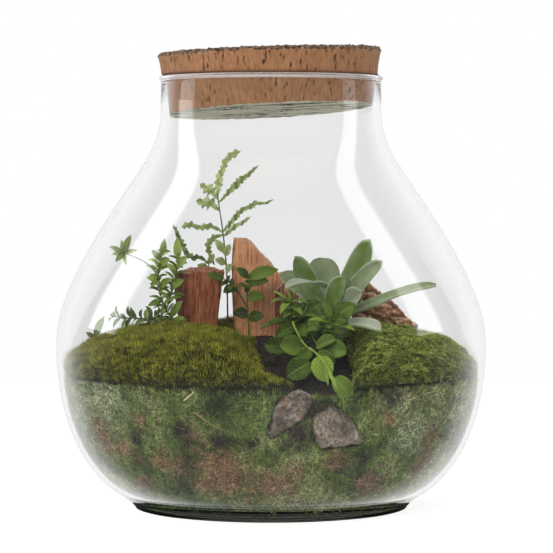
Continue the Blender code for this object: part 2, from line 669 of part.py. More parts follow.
def build_creeper_whorl(green):
    """The bright stem at the front centre that ends in a whorl of narrow leaves."""
    pieces = [stem([(17, -50, 97), (17, -50, 108), (15.5, -53, 119), (11.6, -55.5, 131)], 1.0, green)]
    for tip, width in (((-0.5, -59, 130), 4.6), ((1.5, -57, 137), 4.6), ((8.5, -60, 139.5), 4.4),
                       ((17, -59.5, 138.5), 4.4), ((22, -60, 130), 5.0), ((19, -65, 123), 5.0),
                       ((5.5, -65, 123.5), 5.0)):
        pieces.append(leaf((11.9, -55.3, 129.6), tip, width, SKY, LENS, green))
    pieces.append(leaf((15.7, -52.6, 118), (-6.5, -60, 114.6), 7.4, SKY, LENS, green))
    pieces.append(leaf((15.3, -53.3, 119.5), (28.5, -58, 121.5), 5.0, SKY, LENS, green))
    pieces.append(leaf((16.5, -51, 112), (7, -43, 113.5), 6.5, SKY, LENS, green))
    return fuse("creeper_whorl", pieces), (17, -50, 97), 1.0


def build_creeper_cluster(green):
    """The stem right of the whorl, with broad folded leaves."""
    pieces = [stem([(30, -62, 96), (30, -62, 108), (33, -66, 115), (36, -69, 122)], 1.0, green)]
    for base, tip, width, face in (((35.4, -68.4, 120), (50.5, -68, 130), 12.0, CAMERA_SIDE),
                                   ((34.8, -67.8, 118.5), (50, -76, 114.5), 6.0, SKY),
                                   ((34.6, -67.6, 118), (23.5, -73, 120.5), 6.0, SKY),
                                   ((35.8, -68.8, 121), (39, -65, 132), 6.5, CAMERA_SIDE),
                                   ((35.8, -68.8, 121), (32, -72, 130), 4.0, CAMERA_SIDE),
                                   ((32, -64.6, 112), (20.5, -66, 111.5), 7.0, SKY),
                                   ((32, -64.6, 112), (39.5, -73, 113.5), 6.0, SKY)):
        pieces.append(leaf(base, tip, width, face, LENS, green))
    return fuse("creeper_cluster", pieces), (30, -62, 96), 1.0


def build_creeper_front(green):
    """The stem that hangs down the front valley, with round leaves that face the glass."""
    pieces = [stem([(22, -72, 91), (22, -72, 103), (26, -82, 102), (32.5, -95, 95), (36, -102, 89)],
                   1.0, green)]
    for base, tip, width, face in (((22, -72.5, 102.5), (6, -78, 105), 11.0, CAMERA_SIDE),
                                   ((21.6, -72, 101.5), (-4.5, -69, 102.5), 9.0, SKY),
                                   ((22.6, -73.5, 102.8), (42.5, -81.5, 103.5), 12.0, (0.0, -0.8, 0.6)),
                                   ((27.6, -85, 100.4), (30.5, -98, 88), 14.0, CAMERA_SIDE),
                                   ((26.2, -82.5, 101.6), (12.5, -91, 88.5), 14.0, CAMERA_SIDE),
                                   ((34.6, -99.2, 91.3), (45, -107, 79.5), 11.0, CAMERA_SIDE)):
        pieces.append(leaf(base, tip, width, face, ROUND, green))
    for base, tip in (((32.2, -94.4, 95.2), (32.6, -107, 83)), ((35.4, -100.9, 90), (38.5, -109, 81.5))):
        pieces.append(leaf(base, tip, 3.2, CAMERA_SIDE, LENS, green))
    return fuse("creeper_front", pieces, "MANIFOLD"), (22, -72, 91), 1.0


def build_creeper_back(green):
    """The stem between the blocks of bark, with a bright leaf over the back block."""
    pieces = [stem([(-14, 14, 97), (-14, 14, 110), (-15, 15, 128), (-14.5, 17, 145)], 0.9, green)]
    pieces.append(stem([(-15, 15, 124), (-23, 10, 137), (-31, 7, 143)], 0.7, green))
    for base, tip, width in (((-14.6, 16.8, 142.5), (4.5, 13, 148), 8.0),
                             ((-14.6, 16.5, 140), (-1.5, 10, 141), 6.0),
                             ((-14.6, 16.8, 143), (-22, 13, 149), 5.0),
                             ((-30, 7.3, 142), (-40.5, 4.5, 145.5), 5.0),
                             ((-24, 9.4, 137.7), (-30, 5, 134), 5.0),
                             ((-14.9, 15.3, 131), (-4, 9, 131), 7.0),
                             ((-14.5, 14.7, 120), (-24, 9, 121), 7.0),
                             ((-14.4, 14.5, 118), (-4.5, 9, 119), 7.0)):
        pieces.append(leaf(base, tip, width, CAMERA_SIDE, LENS, green))
    return fuse("creeper_back", pieces), (-14, 14, 97), 0.9


# Each block of bark: how deep it stands, its corners with their heights, how wide its foot is against its
# top, the ridges between two corners and the seed of its roughness
BARK_BLOCKS = {
    "bark_left": (98.0, ((-63, 23, 146), (-58, 14, 146), (-42, 12, 147.5), (-31, 15, 147), (-30, 28, 148),
                         (-43, 36, 149), (-58, 34, 147.5)), 0.68, 3, 3),
    "bark_back": (98.0, ((-25, 41, 167), (-15, 39, 167), (3, 39, 149), (15, 42, 127), (16, 51, 125),
                         (3, 56, 147), (-14, 57, 166), (-25, 53, 169)), 1.0, 3, 5),
    "bark_right": (98.0, ((50, 20, 131), (62, 15, 141), (80, 17, 126), (94, 25, 112), (93, 36, 112),
                          (76, 43, 127), (54, 38, 134)), 0.96, 3, 8),
    "bark_shard": (98.0, ((1, 27, 132), (9, 22, 141), (18, 25, 139), (19, 33, 136), (8, 35, 141)),
                   0.8, 2, 11),
}

# Each stone: its outline as seen through the front of the jar, and its seed
STONES = {
    "stone_left": (((16.8, 82.0), (23.2, 77.8), (21.6, 68.6), (13.9, 63.4), (0.6, 54.1), (-2.5, 56.5),
                    (2.3, 69.7), (5.8, 77.3)), 4),
    "stone_right": (((35.5, 73.0), (25.2, 67.4), (23.4, 59.3), (29.3, 47.2), (55.5, 50.7), (46.4, 65.1)), 9),
}


def build_terrarium():
    glass = finish("clear_glass", (0.93, 0.97, 0.95), 0.02, 1.0)
    cork = finish("natural_cork", (0.56, 0.36, 0.21), 0.85)
    moss = finish("moss", (0.16, 0.22, 0.04), 0.95)
    old_moss = finish("pressed_moss", (0.13, 0.16, 0.06), 0.95)
    soil = finish("soil", (0.025, 0.022, 0.018), 0.95)
    gravel = finish("gravel", (0.38, 0.26, 0.18), 0.9)
    bark = finish("fibrous_bark", (0.34, 0.14, 0.07), 0.9)
    stone = finish("field_stone", (0.3, 0.26, 0.23), 0.8)
    fern_green = finish("fern_green", (0.12, 0.24, 0.05), 0.6)
    leaf_green = finish("leaf_green", (0.13, 0.27, 0.04), 0.5)
    creeper_green = finish("creeper_green", (0.17, 0.36, 0.03), 0.5)
    grey_green = finish("grey_green", (0.24, 0.33, 0.2), 0.55)

    build_jar(glass)
    build_cork(cork)
    build_gravel(gravel)
    lining = build_lining(old_moss)
    ground_body = build_soil(soil)
    mounds = [build_mound("moss_mound_left", (98.0, 95.0), (257.0, 275.0), 44.0, (8.0, 26.0), moss),
              build_mound("moss_mound_right", (-44.0, -68.0), (94.0, 91.5), 52.0, (12.0, 8.0), moss)]

    blocks = [build_bark(name, *facts, bark) for name, facts in BARK_BLOCKS.items()]
    stones = [hull_object(name, stone_points(*facts), stone) for name, facts in STONES.items()]

    roots = []
    for build, green in ((build_fern_tall, fern_green), (build_fern_low, fern_green),
                         (build_leafy_stem, leaf_green), (build_floor_sprig, fern_green),
                         (build_small_leaf, leaf_green), (build_succulent, grey_green),
                         (build_creeper_whorl, creeper_green), (build_creeper_cluster, creeper_green),
                         (build_creeper_front, creeper_green), (build_creeper_back, creeper_green)):
        roots.append(build(green)[1:])

    combine(lining, [pocket(item, reach=4.0) for item in stones], "DIFFERENCE")
    hollows = [pocket(item) for item in stones + blocks] + [root_hole(*root) for root in roots]
    combine(ground_body, hollows, "DIFFERENCE")
    for mound in mounds:
        combine(mound, [pocket(item) for item in blocks] + [root_hole(*root) for root in roots], "DIFFERENCE")

    for item in bpy.context.scene.objects:
        item.data.transform(Matrix.Scale(MM, 4))


clear_scene()
build_terrarium()
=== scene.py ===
# %% [markdown]
# A planted glass jar: a pear-shaped jar of clear glass, closed by a thick cork, with a small landscape of
# moss, bark, stones and plants inside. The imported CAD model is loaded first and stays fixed. Every piece
# below either gives one of its nodes a finish, or stands for a node with a finer form.

# %% Load the fixed frame
import math
import random

import bmesh
import bpy
import numpy as np
from mathutils import Matrix, Vector, noise
from mathutils.geometry import interpolate_bezier


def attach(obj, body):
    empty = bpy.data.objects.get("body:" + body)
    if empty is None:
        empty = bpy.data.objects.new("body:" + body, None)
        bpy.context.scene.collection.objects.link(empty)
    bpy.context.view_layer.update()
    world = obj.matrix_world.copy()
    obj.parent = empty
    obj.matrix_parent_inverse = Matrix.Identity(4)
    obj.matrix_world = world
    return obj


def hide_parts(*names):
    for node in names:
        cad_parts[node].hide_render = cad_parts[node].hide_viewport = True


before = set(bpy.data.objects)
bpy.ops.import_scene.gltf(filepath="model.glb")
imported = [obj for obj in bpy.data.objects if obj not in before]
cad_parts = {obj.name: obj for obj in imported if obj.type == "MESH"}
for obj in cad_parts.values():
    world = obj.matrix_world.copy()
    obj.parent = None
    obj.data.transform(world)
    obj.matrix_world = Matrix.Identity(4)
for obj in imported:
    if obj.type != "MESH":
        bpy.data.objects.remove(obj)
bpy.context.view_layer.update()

# %% [markdown]
# The pieces are drawn in millimetres, because a leaf or a cork pore is easier to think of in millimetres
# than in metres. One helper brings a finished mesh to metres, lets it ride on the object's only body and
# hides the CAD nodes it stands for.

# %% A helper that turns a mesh into a finished piece
MM = 0.001


def make_object(name, bm):
    """A plain object from a mesh that is still being edited."""
    mesh = bpy.data.meshes.new(name)
    bm.to_mesh(mesh)
    bm.free()
    made = bpy.data.objects.new(name, mesh)
    bpy.context.scene.collection.objects.link(made)
    return made


def finish_piece(piece, finishes, slot, *nodes, smooth=True):
    """Brings a piece from millimetres to metres, dresses it and fixes it to the body."""
    piece.data.transform(Matrix.Scale(MM, 4))
    chosen = np.empty(len(piece.data.polygons), np.int32)
    piece.data.polygons.foreach_get("material_index", chosen)
    piece.data.materials.clear()
    for finish in finishes:
        piece.data.materials.append(finish)
    piece.data.polygons.foreach_set("material_index", chosen)
    if smooth:
        piece.data.shade_smooth()
    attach(piece, "root")
    if nodes:
        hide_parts(*nodes)
    piece.data.calc_loop_triangles()
    print(f"{piece.name}: {len(piece.data.loop_triangles)} triangles")
    return piece


def evaluated_mesh(item):
    """The mesh that an object has once its modifiers have run."""
    graph = bpy.context.evaluated_depsgraph_get()
    return bpy.data.meshes.new_from_object(item.evaluated_get(graph))


def corners_of(mesh):
    """All corners of a mesh, as rows of x, y and z."""
    corners = np.empty(len(mesh.vertices) * 3)
    mesh.vertices.foreach_get("co", corners)
    return corners.reshape(-1, 3)


def set_corners(mesh, corners):
    """Moves all corners of a mesh to new places."""
    mesh.vertices.foreach_set("co", corners.ravel())
    mesh.update()


def store(item, name, values):
    """Stores a value for each corner, under a name that finishes and scattered tufts read."""
    layer = item.data.attributes.get(name) or item.data.attributes.new(name, "FLOAT", "POINT")
    layer.data.foreach_set("value", np.array(values, np.float32))


print("mesh helpers are ready")

# %% [markdown]
# The photograph was taken with a long lens from a little above the belly of the jar, so the jar hardly
# tapers with distance. The camera stands 1.7 m in front of the jar's axis and looks down by about two
# degrees, which puts the horizon in the upper third of the picture. It stands 3.4 mm to the right of the
# axis.

# %% Place the camera
CAMERA_DISTANCE = 1.7
CAMERA_HEIGHT = 0.205
CAMERA_RIGHT = 0.0034
CAMERA_PITCH = math.radians(2.053)
SENSOR = 36.0
FOCAL_PIXELS = 2720.0
PICTURE_PIXELS = 553.0

camera_data = bpy.data.cameras.new("camera")
camera_data.sensor_width = SENSOR
camera_data.lens = FOCAL_PIXELS / PICTURE_PIXELS * SENSOR
camera = bpy.data.objects.new("camera", camera_data)
camera.location = (CAMERA_RIGHT, -CAMERA_DISTANCE, CAMERA_HEIGHT)
camera.rotation_euler = (math.pi * 0.5 - CAMERA_PITCH, 0.0, 0.0)
bpy.context.scene.collection.objects.link(camera)
bpy.context.scene.camera = camera
print("lens:", round(camera_data.lens, 1), "mm")

# %% [markdown]
# Lights, the room and every finish are nets of shader nodes. They could be drawn by hand in the editor, and
# here a few helpers keep them short. feed joins a socket or sets it, add_node makes a node and feeds its
# sockets, steps is a colour ramp, and mask rises from 0 to 1 between two values.

# %% Helpers for nets of nodes


def feed(tree, socket, value):
    """Joins a socket to another node's output, or sets it to a number, a vector or a colour."""
    if isinstance(value, bpy.types.NodeSocket):
        tree.links.new(value, socket)
    else:
        socket.default_value = (*value, 1.0) if socket.type == "RGBA" else value


def add_node(tree, kind, inputs=None, **settings):
    """A new node. inputs gives its sockets' names or numbers, each with what feeds it."""
    node = tree.nodes.new(kind)
    for key, value in settings.items():
        setattr(node, key, value)
    for key, value in (inputs or {}).items():
        feed(tree, node.inputs[key], value)
    return node


def maths(tree, operation, *values):
    """The result of a Math node."""
    return add_node(tree, "ShaderNodeMath", dict(enumerate(values)), operation=operation).outputs[0]


def mask(tree, value, low, high):
    """0 below low and 1 above high, with an even rise between them."""
    spread = add_node(tree, "ShaderNodeMapRange", {"Value": value, "From Min": low, "From Max": high})
    return spread.outputs["Result"]


def steps(tree, value, stops, rise="LINEAR"):
    """Colours along a value, as pairs of place and colour, or of place and grey."""
    ramp = add_node(tree, "ShaderNodeValToRGB", {"Fac": value})
    band = ramp.color_ramp
    band.interpolation = rise
    while len(band.elements) < len(stops):
        band.elements.new(0.5)
    for element, (place, colour) in zip(band.elements, stops):
        element.position = place
        element.color = (*(colour if isinstance(colour, tuple) else (colour,) * 3), 1.0)
    return ramp.outputs["Color"]


print("node helpers are ready")

# %% [markdown]
# Clear glass shows only what it mirrors and bends, so the light is what draws it. Two tall strip lights
# stand upright beside the jar and leave the long pale bands on its shoulders. Their sides fade, as the
# cloth of a soft light does. Soft lights from above and from the front left reach the plants, and the glass
# doesn't mirror those.

# %% Set up the lights
STRIP_LOW, STRIP_HIGH = 0.25, 1.9
STRIP_FADE = 0.15
scene = bpy.context.scene
scene.view_settings.view_transform = "Standard"
scene.cycles.transparent_max_bounces = 24


def add_light(name, place, target, size, power, mirrored):
    """A rectangular soft light. Where mirrored is False, the glass doesn't show it."""
    data = bpy.data.lights.new(name, "AREA")
    data.shape = "RECTANGLE"
    data.size, data.size_y = size
    data.energy = power
    light = bpy.data.objects.new(name, data)
    light.location = place
    light.rotation_euler = (Vector(target) - Vector(place)).to_track_quat("-Z", "Y").to_euler()
    light.visible_camera = False
    light.visible_glossy = mirrored
    light.visible_transmission = mirrored
    scene.collection.objects.link(light)
    return light


def stand_strip(name, x, y, width, power):
    """An upright strip light that faces the jar; its brightness fades towards its two long sides."""
    middle = (STRIP_LOW + STRIP_HIGH) * 0.5
    strip = add_light(name, (x, y, middle), (0.0, 0.0, middle), (width, STRIP_HIGH - STRIP_LOW), power, True)
    strip.data.use_nodes = True
    tree = strip.data.node_tree
    place = add_node(tree, "ShaderNodeNewGeometry").outputs["Parametric"]
    across = add_node(tree, "ShaderNodeSeparateXYZ", {0: place}).outputs["X"]
    fade = steps(tree, across, ((0.0, 0.0), (STRIP_FADE, 1.0), (1.0 - STRIP_FADE, 1.0), (1.0, 0.0)), "EASE")
    feed(tree, tree.nodes["Emission"].inputs["Color"], fade)


stand_strip("strip_left", -0.97, 0.13, 0.45, 5.9)
stand_strip("strip_right", 0.97, -0.01, 0.38, 3.9)
add_light("soft_top", (0.15, -0.1, 1.6), (0.0, 0.0, 0.1), (0.9, 0.9), 22.0, False)
add_light("soft_front", (-0.6, -1.4, 0.75), (0.0, 0.0, 0.1), (1.0, 0.8), 15.0, False)

# %% [markdown]
# The room is the world around the jar. A white screen stands behind the jar, and the rest is dark, which
# gives the glass its grey edges. Walls could be built, but a ramp along the world's depth is simpler, and
# its soft steps bend in the glass as a real screen's edges do. Below the horizon the table sends back a
# little light. The camera itself sees plain white, so only the glass and the plants know about the room.

# %% Paint the room
ROOM_STEPS = ((0.0, 0.1), (0.5, 0.14), (0.72, 0.3), (0.86, 1.0), (1.0, 1.0))
TABLE_GLOW = 0.28
TABLE_RISE = (-0.02, -0.3)

world = bpy.data.worlds.new("room")
scene.world = world
world.use_nodes = True
tree = world.node_tree
tree.nodes.clear()
direction = add_node(tree, "ShaderNodeTexCoord").outputs["Generated"]
parts = add_node(tree, "ShaderNodeSeparateXYZ", {0: direction}).outputs
walls = steps(tree, mask(tree, parts["Y"], -1.0, 1.0), ROOM_STEPS)
glow = add_node(tree, "ShaderNodeMapRange", {"Value": parts["Z"], "From Min": TABLE_RISE[0],
                                             "From Max": TABLE_RISE[1], "To Max": TABLE_GLOW})
lit_room = maths(tree, "MAXIMUM", walls, glow.outputs["Result"])
room = add_node(tree, "ShaderNodeBackground", {"Color": lit_room})
plain_white = add_node(tree, "ShaderNodeBackground", {"Color": (1.0, 1.0, 1.0)})
ray = add_node(tree, "ShaderNodeLightPath").outputs["Is Camera Ray"]
choice = add_node(tree, "ShaderNodeMixShader", {0: ray, 1: room.outputs[0], 2: plain_white.outputs[0]})
add_node(tree, "ShaderNodeOutputWorld", {"Surface": choice.outputs[0]})
print("room:", len(tree.nodes), "nodes")

# %% [markdown]
# A finish is a Principled shader with a pattern for its colour and its relief. grain is a noise in the
# object's own space, blend mixes two colours, and relief is a fine bump. All patterns read object
# coordinates or a value that the piece carries, so they stay put when the camera moves.

# %% Helpers for the finishes


def new_finish(name, roughness, colour=(0.5, 0.5, 0.5)):
    """A Principled material with a given roughness; returns the material, its node tree and its shader."""
    material = bpy.data.materials.new(name)
    material.use_nodes = True
    nodes = material.node_tree
    shader = nodes.nodes["Principled BSDF"]
    shader.inputs["Roughness"].default_value = roughness
    shader.inputs["Base Color"].default_value = (*colour, 1.0)
    return material, nodes, shader


def grain(nodes, scale, detail=4.0, stretch=(1.0, 1.0, 1.0), roughness=0.55, offset=(0.0, 0.0, 0.0)):
    """A noise value in the object's own space; a small stretch along an axis draws it out there."""
    where = add_node(nodes, "ShaderNodeTexCoord").outputs["Object"]
    placed = add_node(nodes, "ShaderNodeMapping", {"Vector": where, "Scale": stretch, "Location": offset})
    pattern = add_node(nodes, "ShaderNodeTexNoise", {"Vector": placed.outputs["Vector"], "Scale": scale,
                                                     "Detail": detail, "Roughness": roughness})
    return pattern.outputs["Fac"]


def stored(nodes, name):
    """A value that the piece's own mesh carries."""
    return add_node(nodes, "ShaderNodeAttribute", attribute_name=name).outputs["Fac"]


def blend(nodes, share, first, second, kind="MIX"):
    """The first colour where share is 0 and the second one where it is 1."""
    mix = add_node(nodes, "ShaderNodeMix", {"Factor": share}, data_type="RGBA", blend_type=kind)
    # The node has a socket A and B for each kind of value, so the colour ones are picked by their type.
    colours = [socket for socket in mix.inputs if socket.type == "RGBA"]
    feed(nodes, colours[0], first)
    feed(nodes, colours[1], second)
    return next(socket for socket in mix.outputs if socket.type == "RGBA")


def paint(nodes, shader, colour):
    """Gives the shader its colour."""
    feed(nodes, shader.inputs["Base Color"], colour)


def relief(nodes, shader, height, strength, distance):
    """A fine bump from a height value; distance is in metres."""
    bump = add_node(nodes, "ShaderNodeBump", {"Height": height, "Strength": strength, "Distance": distance})
    feed(nodes, shader.inputs["Normal"], bump.outputs["Normal"])


def grained_finish(name, roughness, stops, strength, distance, *pattern):
    """A finish of one grain: its colours run along the grain, and the grain is also its relief."""
    material, nodes, shader = new_finish(name, roughness)
    value = grain(nodes, *pattern)
    paint(nodes, shader, steps(nodes, value, stops))
    relief(nodes, shader, value, strength, distance)
    return material


print("finish helpers are ready")

# %% [markdown]
# The jar was blown into a mould and cracked off at the neck, so it is one body: a flat foot, a wide belly,
# a shoulder that curves in and then out into a straight neck, and a thin fire-polished lip. Its outline is
# three smooth curves in the plane of radius and height, which need only a few points and join without a
# kink.

# %% Draw the jar's outline
FOOT_RADIUS = 85.5
FOOT_TOP = (95.0, 9.0)
BELLY = (134.2, 101.2)
BELLY_HANDLE_BELOW = 73.8
BELLY_HANDLE_ABOVE = 12.0
SHOULDER = (99.5, 185.0)
SHOULDER_SLOPE = (-0.548, 0.8365)
SHOULDER_HANDLES = (61.5, 34.7)
NECK_RADIUS = 68.8
NECK_START = 249.1
NECK_HANDLE = 23.6
JAR_HEIGHT = 269.0
WALL = 3.0
BASE_THICKNESS = 5.0
JAR_STEPS = 160
LIP_DEPTH = 2.9


def bezier(start, handle_a, handle_b, end, count):
    """The points of a curve in the plane of radius and height, without its first one."""
    corners = [Vector((radius, height, 0.0)) for radius, height in (start, handle_a, handle_b, end)]
    return [(point.x, point.y) for point in interpolate_bezier(*corners, count + 1)[1:]]


def jar_outline():
    """The outside of the jar from the top of its foot to the top of its neck."""
    leave, arrive = SHOULDER_HANDLES
    below = (SHOULDER[0] - SHOULDER_SLOPE[0] * leave, SHOULDER[1] - SHOULDER_SLOPE[1] * leave)
    above = (SHOULDER[0] + SHOULDER_SLOPE[0] * arrive, SHOULDER[1] + SHOULDER_SLOPE[1] * arrive)
    curve = [FOOT_TOP]
    curve += bezier(FOOT_TOP, FOOT_TOP, (BELLY[0], BELLY[1] - BELLY_HANDLE_BELOW), BELLY, 22)
    curve += bezier(BELLY, (BELLY[0], BELLY[1] + BELLY_HANDLE_ABOVE), below, SHOULDER, 24)
    curve += bezier(SHOULDER, above, (NECK_RADIUS, NECK_START - NECK_HANDLE), (NECK_RADIUS, NECK_START), 24)
    curve.append((NECK_RADIUS, JAR_HEIGHT - 3.6))
    return curve


def moved_in(curve, distance):
    """The outline moved towards the axis, square to itself."""
    result = []
    for index, (radius, height) in enumerate(curve):
        before = curve[max(index - 1, 0)]
        after = curve[min(index + 1, len(curve) - 1)]
        along = Vector((after[0] - before[0], after[1] - before[1])).normalized()
        result.append((radius - along.y * distance, height + along.x * distance))
    return result


outer_curve = jar_outline()
inner_curve = moved_in(outer_curve, WALL)
inner_heights = [height for radius, height in inner_curve]
inner_radii = [radius for radius, height in inner_curve]
print("outline points:", len(outer_curve))

# %% [markdown]
# The wall is drawn as one closed section, down the outside, round the lip and along the inside, and is spun
# round the axis. Solidify would thicken one sheet as well, but a drawn section gives the heavy foot and the
# rounded lip at once, and an even wall, which real glass needs for its double mirror lines.

# %% Spin the glass


def spin_profile(profile, count):
    """A closed body turned from a profile of radius and height whose two ends lie on the axis."""
    bm = bmesh.new()
    line = [bm.verts.new((radius, 0.0, height)) for radius, height in profile]
    edges = [bm.edges.new(pair) for pair in zip(line, line[1:])]
    bmesh.ops.spin(bm, geom=line + edges, cent=(0.0, 0.0, 0.0), axis=(0.0, 0.0, 1.0), angle=2.0 * math.pi,
                   steps=count, use_merge=True)
    bmesh.ops.remove_doubles(bm, verts=bm.verts, dist=1e-4)
    bmesh.ops.recalc_face_normals(bm, faces=bm.faces)
    return bm


foot = [(0.0, 1.2), (FOOT_RADIUS - 9.0, 1.0), (FOOT_RADIUS - 5.0, 0.0), (FOOT_RADIUS - 2.0, 0.0),
        (FOOT_RADIUS - 0.6, 0.4), (FOOT_RADIUS, 1.5), (FOOT_RADIUS + 1.6, 3.2), (FOOT_RADIUS + 4.6, 5.8)]
neck = inner_curve[-1][0]
lip = [(radius, JAR_HEIGHT - depth) for radius, depth in (
    (69.0, LIP_DEPTH), (69.6, 2.4), (69.9, 1.7), (69.8, 0.9), (69.3, 0.3), (68.4, 0.0), (67.2, 0.0),
    (neck + 0.5, 0.4), (neck + 0.1, 1.2), (neck, 2.2))]
inside = [(radius, height) for radius, height in reversed(inner_curve) if height > BASE_THICKNESS + 3.0]
floor_round = [(86.0, BASE_THICKNESS + 1.4), (80.0, BASE_THICKNESS), (0.0, BASE_THICKNESS)]
jar_mesh = spin_profile(foot + outer_curve + lip + inside + floor_round, JAR_STEPS)

# %% [markdown]
# The glass is a clear, smooth shader that bends light. Lamps can't find their way through bent glass, so
# for rays that look for a lamp, and for light that plants and moss scatter, it is swapped for plain
# transparency. The jar's faint grey-green is set once, on the shader's own colour. A fire-polished lip
# gathers light from all round and shows as a pale line in front of the cork; here that line is a painted
# highlight, a white diffuse share mixed in along the lip only.

# %% Give the jar its glass
GLASS_TINT = (0.962, 0.966, 0.964)
LIP_PAINTED_HIGHLIGHT = ((0.04, 0.0), (0.2, 0.34), (0.4, 0.34), (0.6, 0.03))


def jar_glass():
    material, nodes, shader = new_finish("clear_glass", 0.0, GLASS_TINT)
    shader.inputs["Transmission Weight"].default_value = 1.0
    shader.inputs["IOR"].default_value = 1.5
    ray_kind = add_node(nodes, "ShaderNodeLightPath").outputs
    unbent = maths(nodes, "MAXIMUM", ray_kind["Is Shadow Ray"], ray_kind["Is Diffuse Ray"])
    clear = add_node(nodes, "ShaderNodeBsdfTransparent", {"Color": GLASS_TINT})
    swap = add_node(nodes, "ShaderNodeMixShader", {0: unbent, 1: shader.outputs[0], 2: clear.outputs[0]})
    # A white diffuse share along the lip paints a pale line there: a painted highlight.
    place = add_node(nodes, "ShaderNodeTexCoord").outputs["Object"]
    height = add_node(nodes, "ShaderNodeSeparateXYZ", {0: place}).outputs["Z"]
    on_lip = mask(nodes, height, (JAR_HEIGHT - LIP_DEPTH) * MM, JAR_HEIGHT * MM)
    highlight_paint = add_node(nodes, "ShaderNodeBsdfDiffuse", {"Color": (0.9, 0.9, 0.9)})
    with_lip_highlight = add_node(nodes, "ShaderNodeMixShader", {0: steps(nodes, on_lip, LIP_PAINTED_HIGHLIGHT), 1: swap.outputs[0],
                                                       2: highlight_paint.outputs[0]})
    feed(nodes, nodes.nodes["Material Output"].inputs["Surface"], with_lip_highlight.outputs[0])
    return material


jar = finish_piece(make_object("jar_body", jar_mesh), [jar_glass()], "clear_glass", "glass_jar")

# %% [markdown]
# The stopper is a disc cut from one thick plank of cork bark, so its pores run through it from side to side
# and show on its edge as dark upright slits. The bark's rough outer skin is its top, and the smoother inner
# side is its underside. The disc is turned on a lathe, here a spin, from a profile with many levels,
# because the slits that come next need corners to press.

# %% Turn the cork
CORK_BOTTOM = 247.6
CORK_TOP = 286.0
CORK_STEPS = 760
HEAD_RADIUS = 67.4
HEAD_FLARE = 2.2
TOP_RADIUS = 69.3
TOP_ROOM = 1.3
PLUG_LEVELS = [CORK_BOTTOM + 0.6 + 0.9 * step for step in range(24)]
HEAD_LEVELS = [JAR_HEIGHT + 0.7 + 0.85 * step for step in range(17)]


def share_of(level, levels):
    """How far up a level is, from 0 at the first of the levels to 1 at the last."""
    return (level - levels[0]) / (levels[-1] - levels[0])


def cork_profile():
    """The stopper's section from the middle of its underside to the middle of its top."""
    plug_foot = float(np.interp(CORK_BOTTOM, inner_heights, inner_radii)) - 2.6
    plug_top = neck - 0.65
    points = [(0.0, CORK_BOTTOM)]
    points += [(plug_foot * share, CORK_BOTTOM) for share in np.linspace(0.05, 0.994, 28)]
    points += [(plug_foot + (plug_top - plug_foot) * min(share_of(level, PLUG_LEVELS) * 1.3, 1.0), level)
               for level in PLUG_LEVELS]
    points += [(plug_top, JAR_HEIGHT + 0.36), (HEAD_RADIUS, JAR_HEIGHT + 0.45)]
    points += [(HEAD_RADIUS + HEAD_FLARE * share_of(level, HEAD_LEVELS) ** 1.6, level)
               for level in HEAD_LEVELS]
    points += [(TOP_RADIUS * share, CORK_TOP - TOP_ROOM) for share in np.linspace(0.99, 0.05, 40)]
    points.append((0.0, CORK_TOP - TOP_ROOM))
    return points


cork = make_object("cork_disc", spin_profile(cork_profile(), CORK_STEPS))
points = corners_of(cork.data)
radius = np.hypot(points[:, 0], points[:, 1])
angle = np.arctan2(points[:, 1], points[:, 0])
level = points[:, 2].copy()
print("cork points:", len(points))

# %% [markdown]
# Most slits are thin and stand alone, and some crowd together in knots. Each is an ellipse on the edge of
# the disc, and the corners inside it are pressed towards the axis. A painted shadow darkens the ring where
# the cork sits on the glass. Both are stored with the corners, so the finish can darken them.

# %% Press the slits and paint the rim's shadow
LONE_SLITS = 330
SLIT_KNOTS = 16
RIM_SHADOW_WIDTH = 1.3


def cork_slits(draw):
    """Each slit's angle, height, half width, half height and depth: lone ones, then knots of short ones."""
    slits = []
    for index in range(LONE_SLITS):
        slits.append((draw.uniform(-math.pi, math.pi), draw.uniform(249.0, 284.0), draw.uniform(0.3, 0.46),
                      draw.uniform(0.9, 3.0), draw.uniform(0.6, 1.2)))
    for index in range(SLIT_KNOTS):
        middle, height = draw.uniform(-math.pi, math.pi), draw.uniform(254.0, 281.0)
        for part in range(draw.randint(3, 6)):
            slits.append((middle + draw.gauss(0.0, 0.025), height + draw.gauss(0.0, 2.2),
                          draw.uniform(0.35, 0.6), draw.uniform(0.7, 1.9), draw.uniform(0.8, 1.3)))
    return slits


on_side = (radius > 62.0) & (level > CORK_BOTTOM + 1.0) & (level < CORK_TOP - 1.2)
pressed = np.zeros(len(points))
for slit_angle, slit_level, half_width, half_height, depth in cork_slits(random.Random(41)):
    across = np.abs((angle - slit_angle + math.pi) % (2.0 * math.pi) - math.pi) * radius
    near = np.clip(1.0 - (across / half_width) ** 2 - ((level - slit_level) / half_height) ** 2, 0.0, 1.0)
    pressed = np.maximum(pressed, depth * np.sqrt(near))
pressed *= on_side
# The ring where the cork meets the lip gets a painted shadow, stored together with the slits.
rim_painted_shadow = 0.85 * np.exp(-((level - JAR_HEIGHT - 0.2) / RIM_SHADOW_WIDTH) ** 2) * on_side
store(cork, "slits_and_rim_shadow", np.clip(np.maximum(pressed / 0.7, rim_painted_shadow), 0.0, 1.0))
print("points in a slit:", int((pressed > 0).sum()))

# %% [markdown]
# A noise breaks the bark on top and crumbles its edge, and a finer one, drawn out from front to back,
# furrows the underside. The disc was cut by hand, so its underside slants and its head leans a little to
# the left.

# %% Break the bark and slant the cork
CORK_SLOPE = (0.055, 0.054)
CORK_LEAN = 0.03
BARK_DEPTH = 1.6

